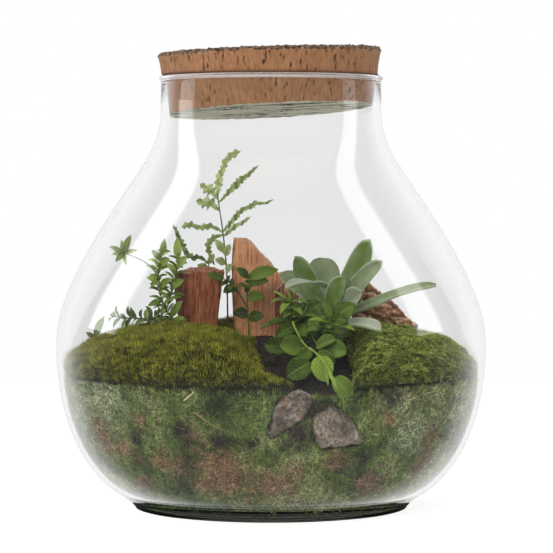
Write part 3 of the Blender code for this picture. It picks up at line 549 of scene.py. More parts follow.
for index, (x, y, z) in enumerate(points):
    if z > HEAD_LEVELS[-1] - BARK_DEPTH:
        bark = noise.noise(Vector((x, y, 0.0)) / 3.4) + 0.7 * noise.noise(Vector((x, y, 5.0)) / 1.1)
        rise = min((z - HEAD_LEVELS[-1] + BARK_DEPTH) / BARK_DEPTH, 1.0)
        points[index, 2] += min(0.9 * bark, 0.75) * rise
        if radius[index] > 66.0:
            crumble = 1.1 * noise.noise(Vector((x, y, z * 2.0)) / 2.2) - 0.2
            points[index, :2] *= 1.0 + crumble * rise / radius[index]
    elif z < CORK_BOTTOM + 0.5 and radius[index] > 1.0:
        points[index, 2] += 0.7 * noise.noise(Vector((x * 0.25, y * 1.3, 0.0)) / 2.0)
below = np.clip(1.0 - (level - CORK_BOTTOM) / (JAR_HEIGHT - CORK_BOTTOM - 2.0), 0.0, 1.0)
points[:, 2] += below * (CORK_SLOPE[0] * points[:, 0] - CORK_SLOPE[1] * points[:, 1])
points[:, :2] *= ((radius - pressed) / np.maximum(radius, 1e-6))[:, None]
above = np.clip((level - JAR_HEIGHT - 0.4) / (CORK_TOP - JAR_HEIGHT - 2.0), 0.0, 1.0)
points[:, 2] += above * CORK_LEAN * points[:, 0]
points[:, 0] -= np.clip(level - JAR_HEIGHT - 0.4, 0.0, 1.0)
set_corners(cork.data, points)
print("cork height:", round(float(points[:, 2].max() - points[:, 2].min()), 1), "mm")

# %% [markdown]
# Cork is three colours here. The cut edge is a warm tan with fine upright streaks and nearly black pores,
# and a painted shadow where it sits on the lip. The bark on top is grey-brown and cracked, with a ragged
# border. The underside is a weathered beige-grey with long fissures. Each face is given one of the three by
# its height.

# %% Finish the cork
EDGE_FINISH, UNDERSIDE_FINISH, BARK_FINISH = range(3)


def cork_edge():
    material, nodes, shader = new_finish("cork_cut_edge", 0.82)
    streaks = grain(nodes, 900.0, 4.0, (1.0, 1.0, 0.16))
    clouds = grain(nodes, 60.0, 3.0)
    tan = steps(nodes, streaks, ((0.3, (0.25, 0.117, 0.05)), (0.5, (0.33, 0.163, 0.077)),
                                 (0.72, (0.4, 0.215, 0.108))))
    warm = blend(nodes, mask(nodes, clouds, 0.35, 0.7), tan, (0.62, 0.33, 0.16), "MULTIPLY")
    body = blend(nodes, 0.25, tan, warm)
    # The stored value darkens the pores and paints the shadow ring under the lip.
    paint(nodes, shader, blend(nodes, stored(nodes, "slits_and_rim_shadow"), body, (0.06, 0.021, 0.01)))
    relief(nodes, shader, streaks, 0.5, 0.0005)
    return material


cork_bark = grained_finish("cork_outer_bark", 0.95, (
    (0.32, (0.022, 0.014, 0.01)), (0.5, (0.1, 0.066, 0.044)), (0.7, (0.27, 0.2, 0.14))),
    0.9, 0.0012, 420.0, 6.0)
cork_underside = grained_finish("cork_inner_side", 0.9, (
    (0.4, (0.05, 0.042, 0.03)), (0.46, (0.4, 0.39, 0.29)), (0.7, (0.58, 0.57, 0.45))),
    0.7, 0.001, 150.0, 5.0, (0.14, 1.0, 1.0))
for face in cork.data.polygons:
    heights = [level[corner] for corner in face.vertices]
    if max(heights) < CORK_BOTTOM + 0.1:
        face.material_index = UNDERSIDE_FINISH
    elif min(heights) > HEAD_LEVELS[-1] - 1.1 + 1.7 * noise.noise(face.center / 2.6):
        face.material_index = BARK_FINISH
finish_piece(cork, [cork_edge(), cork_underside, cork_bark], "natural_cork", "cork_stopper")

# %% [markdown]
# Moss, soil, bark and stone have forms that no lathe makes. Their CAD solids already have the right size,
# so each is copied and rebuilt as an even skin of small squares. A noise then moves that skin in and out,
# which gives it the lumps and cracks of the real thing.

# %% Helpers for rough, grown skins


def even_skin(node, cell):
    """A CAD node's form in millimetres, rebuilt as one skin of squares of about the cell's size."""
    bm = bmesh.new()
    bm.from_mesh(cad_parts[node].data)
    bmesh.ops.scale(bm, vec=(1.0 / MM,) * 3, verts=bm.verts)
    bmesh.ops.remove_doubles(bm, verts=bm.verts, dist=0.001)
    block = make_object("copy_of_" + node, bm)
    remesh = block.modifiers.new("Remesh", "REMESH")
    remesh.mode = "VOXEL"
    remesh.voxel_size = cell
    skin = bmesh.new()
    skin.from_mesh(evaluated_mesh(block))
    bpy.data.objects.remove(block)
    return skin


def roughen(bm, height_at):
    """Moves every corner along its normal by what height_at says for its place and normal."""
    bm.normal_update()
    moves = [(vertex, vertex.normal * height_at(vertex.co, vertex.normal)) for vertex in bm.verts]
    for vertex, move in moves:
        vertex.co += move


def layered(place, *layers):
    """A sum of noises, each given as size and amount in millimetres."""
    return sum(amount * noise.noise(place / size) for size, amount in layers)


def keep_inside(mesh, gap):
    """Presses whatever reaches the glass flat against it, a gap away from its inner face."""
    corners = corners_of(mesh)
    reach = np.hypot(corners[:, 0], corners[:, 1])
    limit = np.interp(corners[:, 2], inner_heights, inner_radii) - gap
    corners[:, :2] *= np.minimum(1.0, limit / np.maximum(reach, 1e-6))[:, None]
    corners[:, 2] = np.maximum(corners[:, 2], BASE_THICKNESS + 0.3)
    set_corners(mesh, corners)


def mark_cover(item, wanted):
    """Stores where tufts may grow on a skin."""
    store(item, "cover", [wanted(vertex.co, vertex.normal) for vertex in item.data.vertices])


print("skin helpers are ready")

# %% [markdown]
# A cushion of moss is thousands of shoots. One small tuft of pointed leaves is modelled, and a net of
# geometry nodes scatters it over the skin: it picks places, turns each tuft to the skin's normal and the
# light, varies its size and stores a random shade for its colour. The result is made real, so it is an
# ordinary mesh.

# %% Helpers for scattering tufts


def tuft(name, blades, radius, height, spread):
    """A few pointed three-sided blades that lean out from one foot; each knows which end is its tip."""
    bm = bmesh.new()
    tip = bm.verts.layers.float.new("tip")
    for blade in range(blades):
        made = bmesh.ops.create_cone(bm, cap_ends=True, segments=3, radius1=radius, radius2=0.0,
                                     depth=height)["verts"]
        for vertex in made:
            vertex[tip] = 1.0 if vertex.co.z > 0.0 else 0.0
        place = Matrix.Rotation(2.0 * math.pi * blade / blades, 4, "Z") @ Matrix.Rotation(spread, 4, "Y")
        bmesh.ops.transform(bm, matrix=place @ Matrix.Translation((0.0, 0.0, height * 0.5)), verts=made)
    made_tuft = make_object(name, bm)
    made_tuft.hide_render = True
    return made_tuft


def live(sockets, kind="VALUE"):
    """The socket of a kind that is switched on; some nodes hold one for each kind of value."""
    return next(socket for socket in sockets if socket.type == kind and socket.enabled)


def scatter_net(item, per_mm2, seed, lean, spread, sizes, flat):
    """Geometry nodes that set tufts on a skin. lean is how much the normal and the sky pull a tuft."""
    net = bpy.data.node_groups.new("scatter", "GeometryNodeTree")
    for way in ("INPUT", "OUTPUT"):
        net.interface.new_socket("Geometry", in_out=way, socket_type="NodeSocketGeometry")

    def chance(low, high, order):
        """A random vector between two vectors for each spot."""
        draw = add_node(net, "FunctionNodeRandomValue", {0: low, 1: high, "Seed": seed + order},
                        data_type="FLOAT_VECTOR")
        return live(draw.outputs, "VECTOR")

    def vectors(operation, *values):
        return add_node(net, "ShaderNodeVectorMath", dict(enumerate(values)), operation=operation).outputs[0]

    skin = add_node(net, "NodeGroupInput").outputs[0]
    cover = add_node(net, "GeometryNodeInputNamedAttribute", {"Name": "cover"}, data_type="FLOAT")
    density = maths(net, "MULTIPLY", live(cover.outputs), per_mm2)
    spots = add_node(net, "GeometryNodeDistributePointsOnFaces",
                     {"Mesh": skin, "Density": density, "Seed": seed}, distribute_method="RANDOM").outputs
    outward = add_node(net, "ShaderNodeVectorMath", {0: spots["Normal"], "Scale": lean[0]}, operation="SCALE")
    pull = vectors("ADD", outward.outputs[0], (0.0, 0.0, lean[1]))
    stray = chance((-spread,) * 3, (spread,) * 3, 1)
    if flat:
        stray = vectors("NORMALIZE", vectors("CROSS_PRODUCT", spots["Normal"], stray))
    aim = vectors("ADD", pull, stray)
    turn = add_node(net, "FunctionNodeAlignRotationToVector", {"Vector": aim}, axis="Z")
    shade = add_node(net, "FunctionNodeRandomValue", {"Seed": seed + 3}, data_type="FLOAT")
    shaded = add_node(net, "GeometryNodeStoreNamedAttribute", {"Geometry": spots["Points"], "Name": "shade"},
                      data_type="FLOAT", domain="POINT")
    feed(net, live(shaded.inputs), live(shade.outputs))
    source = add_node(net, "GeometryNodeObjectInfo", {"Object": item})
    tufts = add_node(net, "GeometryNodeInstanceOnPoints", {
        "Points": shaded.outputs["Geometry"], "Instance": source.outputs["Geometry"],
        "Rotation": turn.outputs[0], "Scale": chance(*sizes, 2)})
    real = add_node(net, "GeometryNodeRealizeInstances", {0: tufts.outputs[0]})
    add_node(net, "NodeGroupOutput", {0: real.outputs[0]})
    return net


def scatter(name, skin, item, per_mm2, seed, lean, spread, sizes, flat=False):
    """Tufts over a skin, as a new object in millimetres. Where flat is True, they lie along the skin."""
    carrier = bpy.data.objects.new(name, skin.data.copy())
    scene.collection.objects.link(carrier)
    modifier = carrier.modifiers.new("Scatter", "NODES")
    modifier.node_group = scatter_net(item, per_mm2, seed, lean, spread, sizes, flat)
    mesh = evaluated_mesh(carrier)
    carrier.modifiers.clear()
    carrier.data = mesh
    return carrier


def grow_tufts(name, skin, item, finish, slot, gap, *growth, flat=False):
    """A finished piece of tufts over a skin, pressed flat where they would touch the glass."""
    tufts = scatter(name, skin, item, *growth, flat=flat)
    keep_inside(tufts.data, gap)
    return finish_piece(tufts, [finish], slot)


print("scatter helpers are ready")

# %% [markdown]
# Moss has no plain green: old shoots are brown, shaded ones nearly black, and the tips that face the light
# are yellow-green. One finish mixes those colours from three sources: the tuft's own random shade, soft
# clouds a centimetre or two across, and rusty patches that are painted on the bed. Each blade is also
# painted darker towards its foot, a painted shade that makes moss look deep.

# %% Finish for moss


def moss_finish(name, dark, middle, light, brown, depth=0.6):
    """The finish of live moss; depth is how far up a blade the painted shade at its foot reaches."""
    material, nodes, shader = new_finish(name, 0.85)
    clouds = grain(nodes, 70.0, 4.0)
    flecks = grain(nodes, 420.0, 3.0)
    fresh = steps(nodes, stored(nodes, "shade"), ((0.0, dark), (0.55, middle), (1.0, light)))
    patchy = blend(nodes, mask(nodes, clouds, 0.4, 0.62), dark, fresh)
    mixed = blend(nodes, 0.45, fresh, patchy)
    flecked = blend(nodes, mask(nodes, flecks, 0.56, 0.66), mixed, brown)
    rusty = blend(nodes, stored(nodes, "rust"), flecked, brown)
    # Painted shade: each blade darkens towards its foot, and a bed without tips shows only this shade.
    shadow = tuple(0.4 * value for value in dark)
    paint(nodes, shader, blend(nodes, mask(nodes, stored(nodes, "tip"), 0.0, depth), shadow, rusty))
    return material


left_moss = moss_finish("moss_left", (0.05, 0.055, 0.004), (0.2, 0.21, 0.014), (0.48, 0.48, 0.07),
                        (0.13, 0.075, 0.015))
right_moss = moss_finish("moss_right", (0.055, 0.085, 0.008), (0.26, 0.335, 0.045), (0.6, 0.68, 0.18),
                         (0.11, 0.075, 0.02))
print("moss finishes:", left_moss.name, right_moss.name)

# %% [markdown]
# The left cushion is a hair-like moss: thin upright shoots, packed so close that only their tips show. It
# has a few hummocks, and brown spots where old shoots show. Its bed is the CAD form with a noise for the
# hummocks, and the brown spots are painted on the bed, from where the tufts take them over.

# %% Grow the left cushion
CUSHION_CELL = 1.5
CUSHION_GAP = 1.4


def moss_bed(node, name, cell, gap, height_at):
    """The smoothed skin of a moss, raised and sunk by height_at and kept inside the glass."""
    bm = even_skin(node, cell)
    bmesh.ops.smooth_vert(bm, verts=bm.verts, factor=0.5, use_axis_x=True, use_axis_y=True, use_axis_z=True)
    roughen(bm, height_at)
    bed = make_object(name, bm)
    keep_inside(bed.data, gap)
    return bed


def hummocks(*layers):
    """The height of a cushion over its bed, from noises of a size and an amount."""
    return lambda place, normal: layered(place, *layers) - 0.6


def limited(value, most=1.0):
    return min(max(value, 0.0), most)


def paint_rust(item, patches, spots):
    """Stores how rusty the moss is: named patches as place and radius, and a noise for small spots."""
    values = []
    for vertex in item.data.vertices:
        ragged = 0.9 * noise.noise(vertex.co / 5.0) + 0.6 * noise.noise(vertex.co / 2.2)
        best = noise.noise(vertex.co / spots + Vector((7.0, 3.0, 1.0))) * 3.0 - 1.2
        for place, reach in patches:
            best = max(best, 1.5 - 1.5 * (vertex.co - Vector(place)).length / reach + ragged)
        values.append(limited(best, 0.85))
    store(item, "rust", values)


def faces_light(place, normal):
    """Leaves grow on all but what looks straight down."""
    return 1.0 if normal.z > -0.6 else 0.0


left_bed = moss_bed("moss_mound_left", "left_cushion_bed", CUSHION_CELL, CUSHION_GAP,
                    hummocks((9.0, 2.2), (3.5, 1.2)))
mark_cover(left_bed, faces_light)
paint_rust(left_bed, (((-88.0, -40.0, 111.0), 5.0), ((-35.0, -80.0, 100.0), 7.0)), 9.0)
hair_tuft = tuft("hair_tuft", 3, 0.27, 4.2, 0.32)
grow_tufts("left_cushion_shoots", left_bed, hair_tuft, left_moss, "moss", 0.3,
           0.55, 11, (0.8, 0.6), 0.55, ((0.8, 0.8, 0.6), (1.4, 1.4, 1.25)))
# The bed carries no tips, so between the shoots it shows the finish's painted shade.
finish_piece(left_bed, [left_moss], "moss", "moss_mound_left")

# %% [markdown]
# The right cushion is a brighter star moss, with rosettes of leaves that open like little stars. It is
# grown as the left one is, from a tuft with more and flatter blades.

# %% Grow the right cushion
right_bed = moss_bed("moss_mound_right", "right_cushion_bed", CUSHION_CELL, CUSHION_GAP,
                     hummocks((8.0, 2.6), (3.0, 1.4)))
mark_cover(right_bed, faces_light)
paint_rust(right_bed, (((97.0, -50.0, 104.0), 5.0),), 8.0)
star_tuft = tuft("star_tuft", 5, 0.3, 2.7, 0.85)
grow_tufts("right_cushion_shoots", right_bed, star_tuft, right_moss, "moss", 0.3,
           0.36, 23, (0.9, 0.6), 0.6, ((0.7, 0.7, 0.7), (1.4, 1.4, 1.5)))
# The bed carries no tips, so between the shoots it shows the finish's painted shade.
finish_piece(right_bed, [right_moss], "moss", "moss_mound_right")

# %% [markdown]
# Below the cushions a wall of sheet moss was laid against the glass before the soil went in. It is seen
# from its side, pressed flat, and its upper sheet overlaps the lower one along a crease. The bed follows
# the CAD form, with soft lumps and that crease. It stays bare where a stone covers it.

# %% Lay the moss wall
SHEET_EDGE = ((-108.8, -65.0, 60.2), (-93.9, -84.0, 59.5), (-80.0, -97.0, 56.5), (-62.0, -109.0, 53.5),
              (-43.7, -117.0, 51.4), (-17.4, -122.0, 47.8), (1.7, -123.0, 46.0))
CREASE_DEPTH = 2.2
STONE_MARGIN = 1.5
WALL_EDGE = 60.0


def near_sheet_edge(place):
    """How near a place is to the edge where the upper sheet of moss overlaps the lower one."""
    best = 100.0
    for start, end in zip(SHEET_EDGE, SHEET_EDGE[1:]):
        start, end = Vector(start), Vector(end)
        span = end - start
        share = limited((place - start).dot(span) / span.length_squared)
        best = min(best, (place - start - span * share).length)
    return best


def behind_stone(place):
    """Whether a stone covers this part of the wall."""
    for node in ("stone_left", "stone_right"):
        low, high = (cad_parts[node].bound_box[corner] for corner in (0, 6))
        if place.y < 0.0 and all(low[axis] / MM - STONE_MARGIN < place[axis] < high[axis] / MM + STONE_MARGIN
                                 for axis in (0, 2)):
            return True
    return False


def wall_form(place, normal):
    """Soft lumps, with a crease along the edge of the upper sheet."""
    crease = CREASE_DEPTH * math.exp(-(near_sheet_edge(place) / 2.2) ** 2)
    return layered(place, (7.0, 1.6), (3.0, 1.0)) - 0.5 - crease


def faces_glass(place, normal):
    """Strands lie on what looks out through the glass, and on the wall's top edge."""
    out = Vector((place.x, place.y, 0.0)).normalized()
    seen = normal.dot(out) > 0.2 or (normal.z > 0.3 and place.z > WALL_EDGE)
    return 1.0 if seen and not behind_stone(place) and near_sheet_edge(place) >= 1.5 else 0.0


def front_of_wall(place, normal):
    return faces_glass(place, normal) if place.y < 0.0 else 0.0


def back_of_wall(place, normal):
    return faces_glass(place, normal) if place.y >= 0.0 else 0.0


def wall_top(place, normal):
    return 1.0 if normal.z > 0.2 and place.z > WALL_EDGE else 0.0


wall_bed = moss_bed("moss_lining", "moss_wall_bed", 1.7, 1.0, wall_form)
print("wall corners:", len(wall_bed.data.vertices))

# %% [markdown]
# Pressed moss is a patchwork: grey-green, rusty where its old undersides face out and pale where it is dry.
# Nearly black patches are painted shade, where the wall lies in shade. A noise alone would put those
# patches anywhere, so the large ones have a place of their own and a noise only makes their borders ragged.

# %% Paint the wall's patches
RUST_PATCHES = (((-105.0, -74.0, 48.0), 17.0), ((-28.0, -110.0, 31.0), 24.0), ((2.0, -108.0, 26.0), 15.0),
                ((-60.0, -95.0, 40.0), 12.0), ((60.0, -95.0, 24.0), 13.0), ((96.0, -78.0, 52.0), 9.0),
                ((92.0, -74.0, 36.0), 9.0), ((38.0, -112.0, 40.0), 8.0), ((14.0, -112.0, 36.0), 8.0),
                ((90.0, 80.0, 50.0), 18.0), ((-70.0, 95.0, 35.0), 20.0), ((10.0, 122.0, 55.0), 16.0))
PALE_PATCHES = (((-99.0, -85.0, 73.0), 24.0), ((-114.0, -58.0, 66.0), 20.0), ((112.0, -66.0, 66.0), 20.0),
                ((98.0, -66.0, 34.0), 22.0), ((-92.0, -62.0, 22.0), 16.0), ((84.0, -98.0, 56.0), 17.0),
                ((-20.0, 124.0, 70.0), 20.0))
PAINTED_SHADE_PATCHES = (((15.0, -117.0, 57.0), 12.0), ((24.0, -120.0, 70.0), 9.0), ((-12.0, -120.0, 52.0), 6.0),
                ((-30.0, -120.0, 53.0), 9.0), ((-78.0, -98.0, 53.0), 8.0), ((-52.0, -110.0, 58.0), 7.0),
                ((70.0, -100.0, 78.0), 8.0))


def paint_patches(item, name, patches):
    """Stores ragged patches. Each is a place and a radius as seen from the front or the back, so a place
    counts from the skin's outer corner nearest to it."""
    corners = [vertex.co.copy() for vertex in item.data.vertices]
    centres = []
    for (x, y, z), reach in patches:
        same_half = [corner for corner in corners if corner.y * y > 0.0]
        nearest = min(same_half, key=lambda corner: (corner.x - x) ** 2 + (corner.z - z) ** 2 - abs(corner.y))
        centres.append((nearest, reach))
    values = []
    for corner in corners:
        ragged = 0.7 * noise.noise(corner / 5.0) + 0.5 * noise.noise(corner / 2.0)
        values.append(limited(max(1.5 - 1.5 * (corner - centre).length / reach + ragged
                                  for centre, reach in centres)))
    store(item, name, values)


def wall_moss_finish(name, lift, darkest, lightest, from_tuft):
    """Pressed moss in several greens. Its contrast comes from each tuft's own shade, or from a fine grain."""
    material, nodes, shader = new_finish(name, 0.9)
    sheets = grain(nodes, 30.0, 5.0, roughness=0.65)
    colour = steps(nodes, sheets, ((0.36, (0.03, 0.045, 0.01)), (0.47, (0.095, 0.135, 0.028)),
                                   (0.55, (0.16, 0.19, 0.06)), (0.66, (0.25, 0.27, 0.13))))
    # The deep patches are painted shade, nearly black.
    for patch, tint in (("pale", (0.27, 0.3, 0.17)), ("rust", (0.23, 0.125, 0.075)),
                        ("deep", (0.03, 0.024, 0.018))):
        colour = blend(nodes, stored(nodes, patch), colour, tint)
    if from_tuft:
        value = stored(nodes, "shade")
    else:
        value = grain(nodes, 620.0, 6.0, (1.0, 1.0, 0.6), roughness=0.8)
        relief(nodes, shader, value, 0.8, 0.0012)
    contrast = steps(nodes, value, ((darkest, 0.14 * lift), (0.5, 0.88 * lift), (lightest, 2.9 * lift)))
    paint(nodes, shader, blend(nodes, 1.0, colour, contrast, "MULTIPLY"))
    return material


side_moss = wall_moss_finish("moss_sides", 1.35, 0.0, 1.0, True)
felt = wall_moss_finish("moss_felt", 0.95, 0.32, 0.68, False)
paint_rust(wall_bed, RUST_PATCHES, 10.0)
paint_patches(wall_bed, "pale", PALE_PATCHES)
# The deep patches are painted shade.
paint_patches(wall_bed, "deep", PAINTED_SHADE_PATCHES)
print("wall finishes:", side_moss.name, felt.name)

# %% [markdown]
# Seen through the glass, the wall is a tangle of flattened strands that lie in every direction. They are
# scattered as the cushions' tufts are, but turned to lie along the skin, and closer at the front, where
# they are seen. A few dry straws and twigs lie among them, and short upright hairs fringe the top edge.

# %% Lay strands, straws and twigs on the wall
PRESSED = ((0.7, 0.7, 0.5), (1.5, 1.5, 1.4))
TWIGS = (((-44.1, -121.0, 69.2), (-32.3, -126.0, 60.9), 0.42, 0.7),
         ((-50.0, -118.0, 76.2), (-44.1, -122.0, 81.5), 0.7, 1.0),
         ((79.2, -100.0, 74.7), (96.9, -86.0, 79.6), 0.4, 0.95),
         ((57.0, -112.0, 64.0), (63.0, -110.0, 60.0), 0.4, 0.3))

strand = tuft("moss_strand", 2, 0.17, 4.6, 0.5)
for side, cover, density, seed in (("front", front_of_wall, 0.62, 37), ("back", back_of_wall, 0.36, 38)):
    mark_cover(wall_bed, cover)
    grow_tufts("moss_wall_strands_" + side, wall_bed, strand, side_moss, "pressed_moss", 0.2,
               density, seed, (0.3, 0.1), 1.0, PRESSED, flat=True)

dry_straw, nodes, shader = new_finish("dry_straw", 0.7)
paint(nodes, shader, steps(nodes, stored(nodes, "shade"), (
    (0.0, (0.1, 0.04, 0.02)), (0.6, (0.34, 0.18, 0.08)), (1.0, (0.6, 0.5, 0.28)))))
mark_cover(wall_bed, faces_glass)
straw = tuft("straw_thread", 1, 0.22, 9.0, 0.0)
grow_tufts("moss_wall_straws", wall_bed, straw, dry_straw, "pressed_moss", 0.15,
           0.02, 71, (0.15, 0.1), 1.0, ((0.6, 0.6, 0.5), (1.2, 1.2, 1.3)), flat=True)

twig_bm = bmesh.new()
shade_layer = twig_bm.verts.layers.float.new("shade")
for start, end, thick, shade in TWIGS:
    start, end = Vector(start), Vector(end)
    turn = (end - start).to_track_quat("Z", "Y").to_matrix().to_4x4()
    place = Matrix.Translation((start + end) * 0.5) @ turn
    made = bmesh.ops.create_cone(twig_bm, cap_ends=True, segments=5, radius1=thick, radius2=0.4 * thick,
                                 depth=(end - start).length, matrix=place)["verts"]
    for vertex in made:
        vertex[shade_layer] = shade
wall_twigs = make_object("moss_wall_twigs", twig_bm)
keep_inside(wall_twigs.data, 0.1)
finish_piece(wall_twigs, [dry_straw], "pressed_moss")

mark_cover(wall_bed, wall_top)
grow_tufts("moss_wall_fringe", wall_bed, hair_tuft, side_moss, "pressed_moss", 0.25,
           0.55, 91, (0.35, 0.8), 0.5, ((0.7, 0.7, 0.6), (1.2, 1.2, 1.15)))
finish_piece(wall_bed, [felt], "pressed_moss", "moss_lining")

# %% [markdown]
# The soil is a dark peat mix with crumbs. It shows in the little valley at the front and under the leaves.
# The gravel below it drains the jar and is hidden, so its CAD solid stays and only gets a finish.

# %% Lay the soil and the gravel


def looks_up(place, normal):
    return 1.0 if normal.z > 0.4 and place.z > 70.0 else 0.0


peat = grained_finish("damp_soil", 0.9, (
    (0.3, (0.006, 0.005, 0.004)), (0.55, (0.024, 0.019, 0.014)), (0.75, (0.07, 0.05, 0.035))),
    0.8, 0.001, 520.0, 5.0)
clay = grained_finish("clay_gravel", 0.85, (
    (0.35, (0.04, 0.036, 0.028)), (0.5, (0.1, 0.09, 0.07)), (0.7, (0.18, 0.16, 0.125))),
    0.8, 0.002, 160.0, 4.0)
soil_bm = even_skin("potting_soil", 2.4)
roughen(soil_bm, lambda place, normal: layered(place, (6.0, 0.8), (2.5, 0.5)) - 0.4)
soil = make_object("soil_bed", soil_bm)
mark_cover(soil, looks_up)
crumb_bm = bmesh.new()
bmesh.ops.create_icosphere(crumb_bm, subdivisions=1, radius=0.8)
crumb = make_object("crumb", crumb_bm)
soil_crumbs = scatter("soil_crumbs", soil, crumb, 0.06, 51, (1.0, 0.0), 0.8,
                      ((0.4, 0.4, 0.4), (1.5, 1.3, 1.1)))
finish_piece(soil_crumbs, [peat], "soil", smooth=False)
finish_piece(soil, [peat], "soil", "potting_soil")
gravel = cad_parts["drainage_gravel"]
gravel.data.materials.clear()
gravel.data.materials.append(clay)

# %% [markdown]
# Three blocks of bark stand behind the moss. The left and the middle one are fibrous: red-brown strands run
# down them like a bundle of threads. The right one is a chunk of pine bark that breaks into angular plates
# with dark cracks. The skin of each is moved by a noise of its own kind, drawn out upwards for fibres and
# in cells for plates. Then its colour is painted: pale along the edge of its top, partly torn fibres and
# partly a painted highlight, and darker on its left side, a painted shade.

# %% Shape the bark
TOP_EDGE_REACH = 34.0


def strands_of(place, normal):
    """Fine upright threads over broader cords."""
    thread = noise.noise(Vector((place.x / 0.9, place.y / 0.9, place.z / 14.0)))
    cord_like = noise.noise(Vector((place.x / 3.2, place.y / 3.2, place.z / 22.0)))
    return 0.5 * thread + 0.9 * cord_like - 0.4


def plates_of(place, normal):
    """Flat plates with cracks where two of them meet."""
    distances, centres = noise.voronoi(Vector((place.x / 13.0, place.y / 13.0, place.z / 9.0)))
    crack = min((distances[1] - distances[0]) / 0.14, 1.0)
    return -1.5 * (1.0 - crack) + layered(place, (6.0, 1.0), (1.8, 0.6)) - 0.2


def bark_finish(name, deep, body, light, stretch, scale):
    material, nodes, shader = new_finish(name, 0.88)
    fibres = grain(nodes, scale, 5.0, stretch)
    clouds = grain(nodes, 70.0, 3.0)
    colour = steps(nodes, fibres, ((0.32, deep), (0.5, body), (0.68, light)))
    shaded = blend(nodes, mask(nodes, clouds, 0.42, 0.7), colour, deep)
    mixed = blend(nodes, 0.35, colour, shaded)
    # The left side is darkened by a painted shade; the top edge is lightened by torn fibres and a painted
    # highlight.
    left_side_shade = blend(nodes, stored(nodes, "left_side_shade"), mixed, tuple(0.35 * value for value in deep))
    paint(nodes, shader, blend(nodes, stored(nodes, "torn_and_lit_top"), left_side_shade, (0.75, 0.5, 0.36)))
    relief(nodes, shader, fibres, 0.8, 0.0008)
    return material


def store_top_light_and_left_shade(item):
    """Stores where a block is pale along the edge of its top, torn fibres and a painted highlight, and where
    its left side is darkened, a painted shade.
    """
    top = max(vertex.co.z for vertex in item.data.vertices)
    torn_and_lit_top, left_side_shade = [], []
    for vertex in item.data.vertices:
        ragged = noise.noise(Vector((vertex.co.x, vertex.co.y, vertex.co.z * 0.4)) / 1.3)
        edge = 1.0 - abs(vertex.normal.z - 0.5) * 2.0
        torn_and_lit_top.append(limited(1.5 * edge + ragged - 0.3) if vertex.co.z > top - TOP_EDGE_REACH else 0.0)
        left_side_shade.append(limited(-1.7 * vertex.normal.x - 0.35 + 0.5 * ragged, 0.85))
    store(item, "torn_and_lit_top", torn_and_lit_top)
    store(item, "left_side_shade", left_side_shade)


UPRIGHT = (1.0, 1.0, 0.08)
EVEN = (1.0, 1.0, 1.0)
BARKS = (
    ("bark_left", "left_bark_block", strands_of, (0.2, 0.06, 0.03), (0.45, 0.14, 0.062), (0.58, 0.22, 0.105),
     UPRIGHT, 900.0),
    ("bark_back", "back_bark_block", strands_of, (0.5, 0.19, 0.085), (0.86, 0.4, 0.2), (0.92, 0.55, 0.32),
     UPRIGHT, 700.0),
    ("bark_right", "right_bark_block", plates_of, (0.12, 0.045, 0.022), (0.5, 0.22, 0.11), (0.66, 0.36, 0.2),
     EVEN, 260.0),
    ("bark_shard", "bark_shard_piece", strands_of, (0.12, 0.04, 0.03), (0.42, 0.14, 0.09), (0.55, 0.26, 0.16),
     UPRIGHT, 900.0),
)
for node_name, piece_name, shape, *look in BARKS:
    block_bm = even_skin(node_name, 0.75)
    roughen(block_bm, shape)
    block = make_object(piece_name, block_bm)
    store_top_light_and_left_shade(block)
    finish_piece(block, [bark_finish(piece_name, *look)], "fibrous_bark", node_name)

# %% [markdown]
# Two stones are wedged between the moss wall and the glass. They are broken pieces of a banded rock:
# pinkish grey, with ochre crusts and one pale vein each. Broken faces are flat cells with a grain on them,
# which a cell noise gives. The stones are pressed flat where they touch the glass.

# %% Shape the stones
STONE_SPREAD = (1.1, 1.0, 1.1)
STONE_FORWARD = (0.0, -1.2, 0.0)


def broken_face(place, normal):
    distances, centres = noise.voronoi(place / 8.0)
    return 1.3 * (0.5 - distances[0]) + layered(place, (3.0, 0.7), (1.1, 0.35)) + 0.35


def stone_finish():
    material, nodes, shader = new_finish("banded_rock", 0.9)
    shader.inputs["Specular IOR Level"].default_value = 0.15
    body = grain(nodes, 420.0, 6.0, roughness=0.7)
    crust = grain(nodes, 150.0, 5.0, offset=(1.0, 0.0, 4.0), roughness=0.65)
    vein = grain(nodes, 170.0, 4.0, (1.0, 1.0, 0.3), offset=(0.0, 2.0, 0.0))
    tone = grain(nodes, 85.0, 3.0, offset=(3.0, 1.0, 0.0))
    rock = steps(nodes, body, ((0.3, (0.028, 0.022, 0.019)), (0.48, (0.14, 0.115, 0.098)),
                               (0.68, (0.36, 0.31, 0.27))))
    ochre = blend(nodes, mask(nodes, crust, 0.5, 0.64), rock, (0.27, 0.19, 0.1))
    crusted = blend(nodes, 0.5, rock, ochre)
    veined = blend(nodes, mask(nodes, vein, 0.6, 0.7), crusted, (0.33, 0.3, 0.27))
    lit = steps(nodes, tone, ((0.36, (0.5, 0.48, 0.46)), (0.5, (0.95, 0.93, 0.9)), (0.64, (1.35, 1.3, 1.2))))
    paint(nodes, shader, blend(nodes, 1.0, veined, lit, "MULTIPLY"))
    relief(nodes, shader, body, 0.7, 0.0008)
    return material


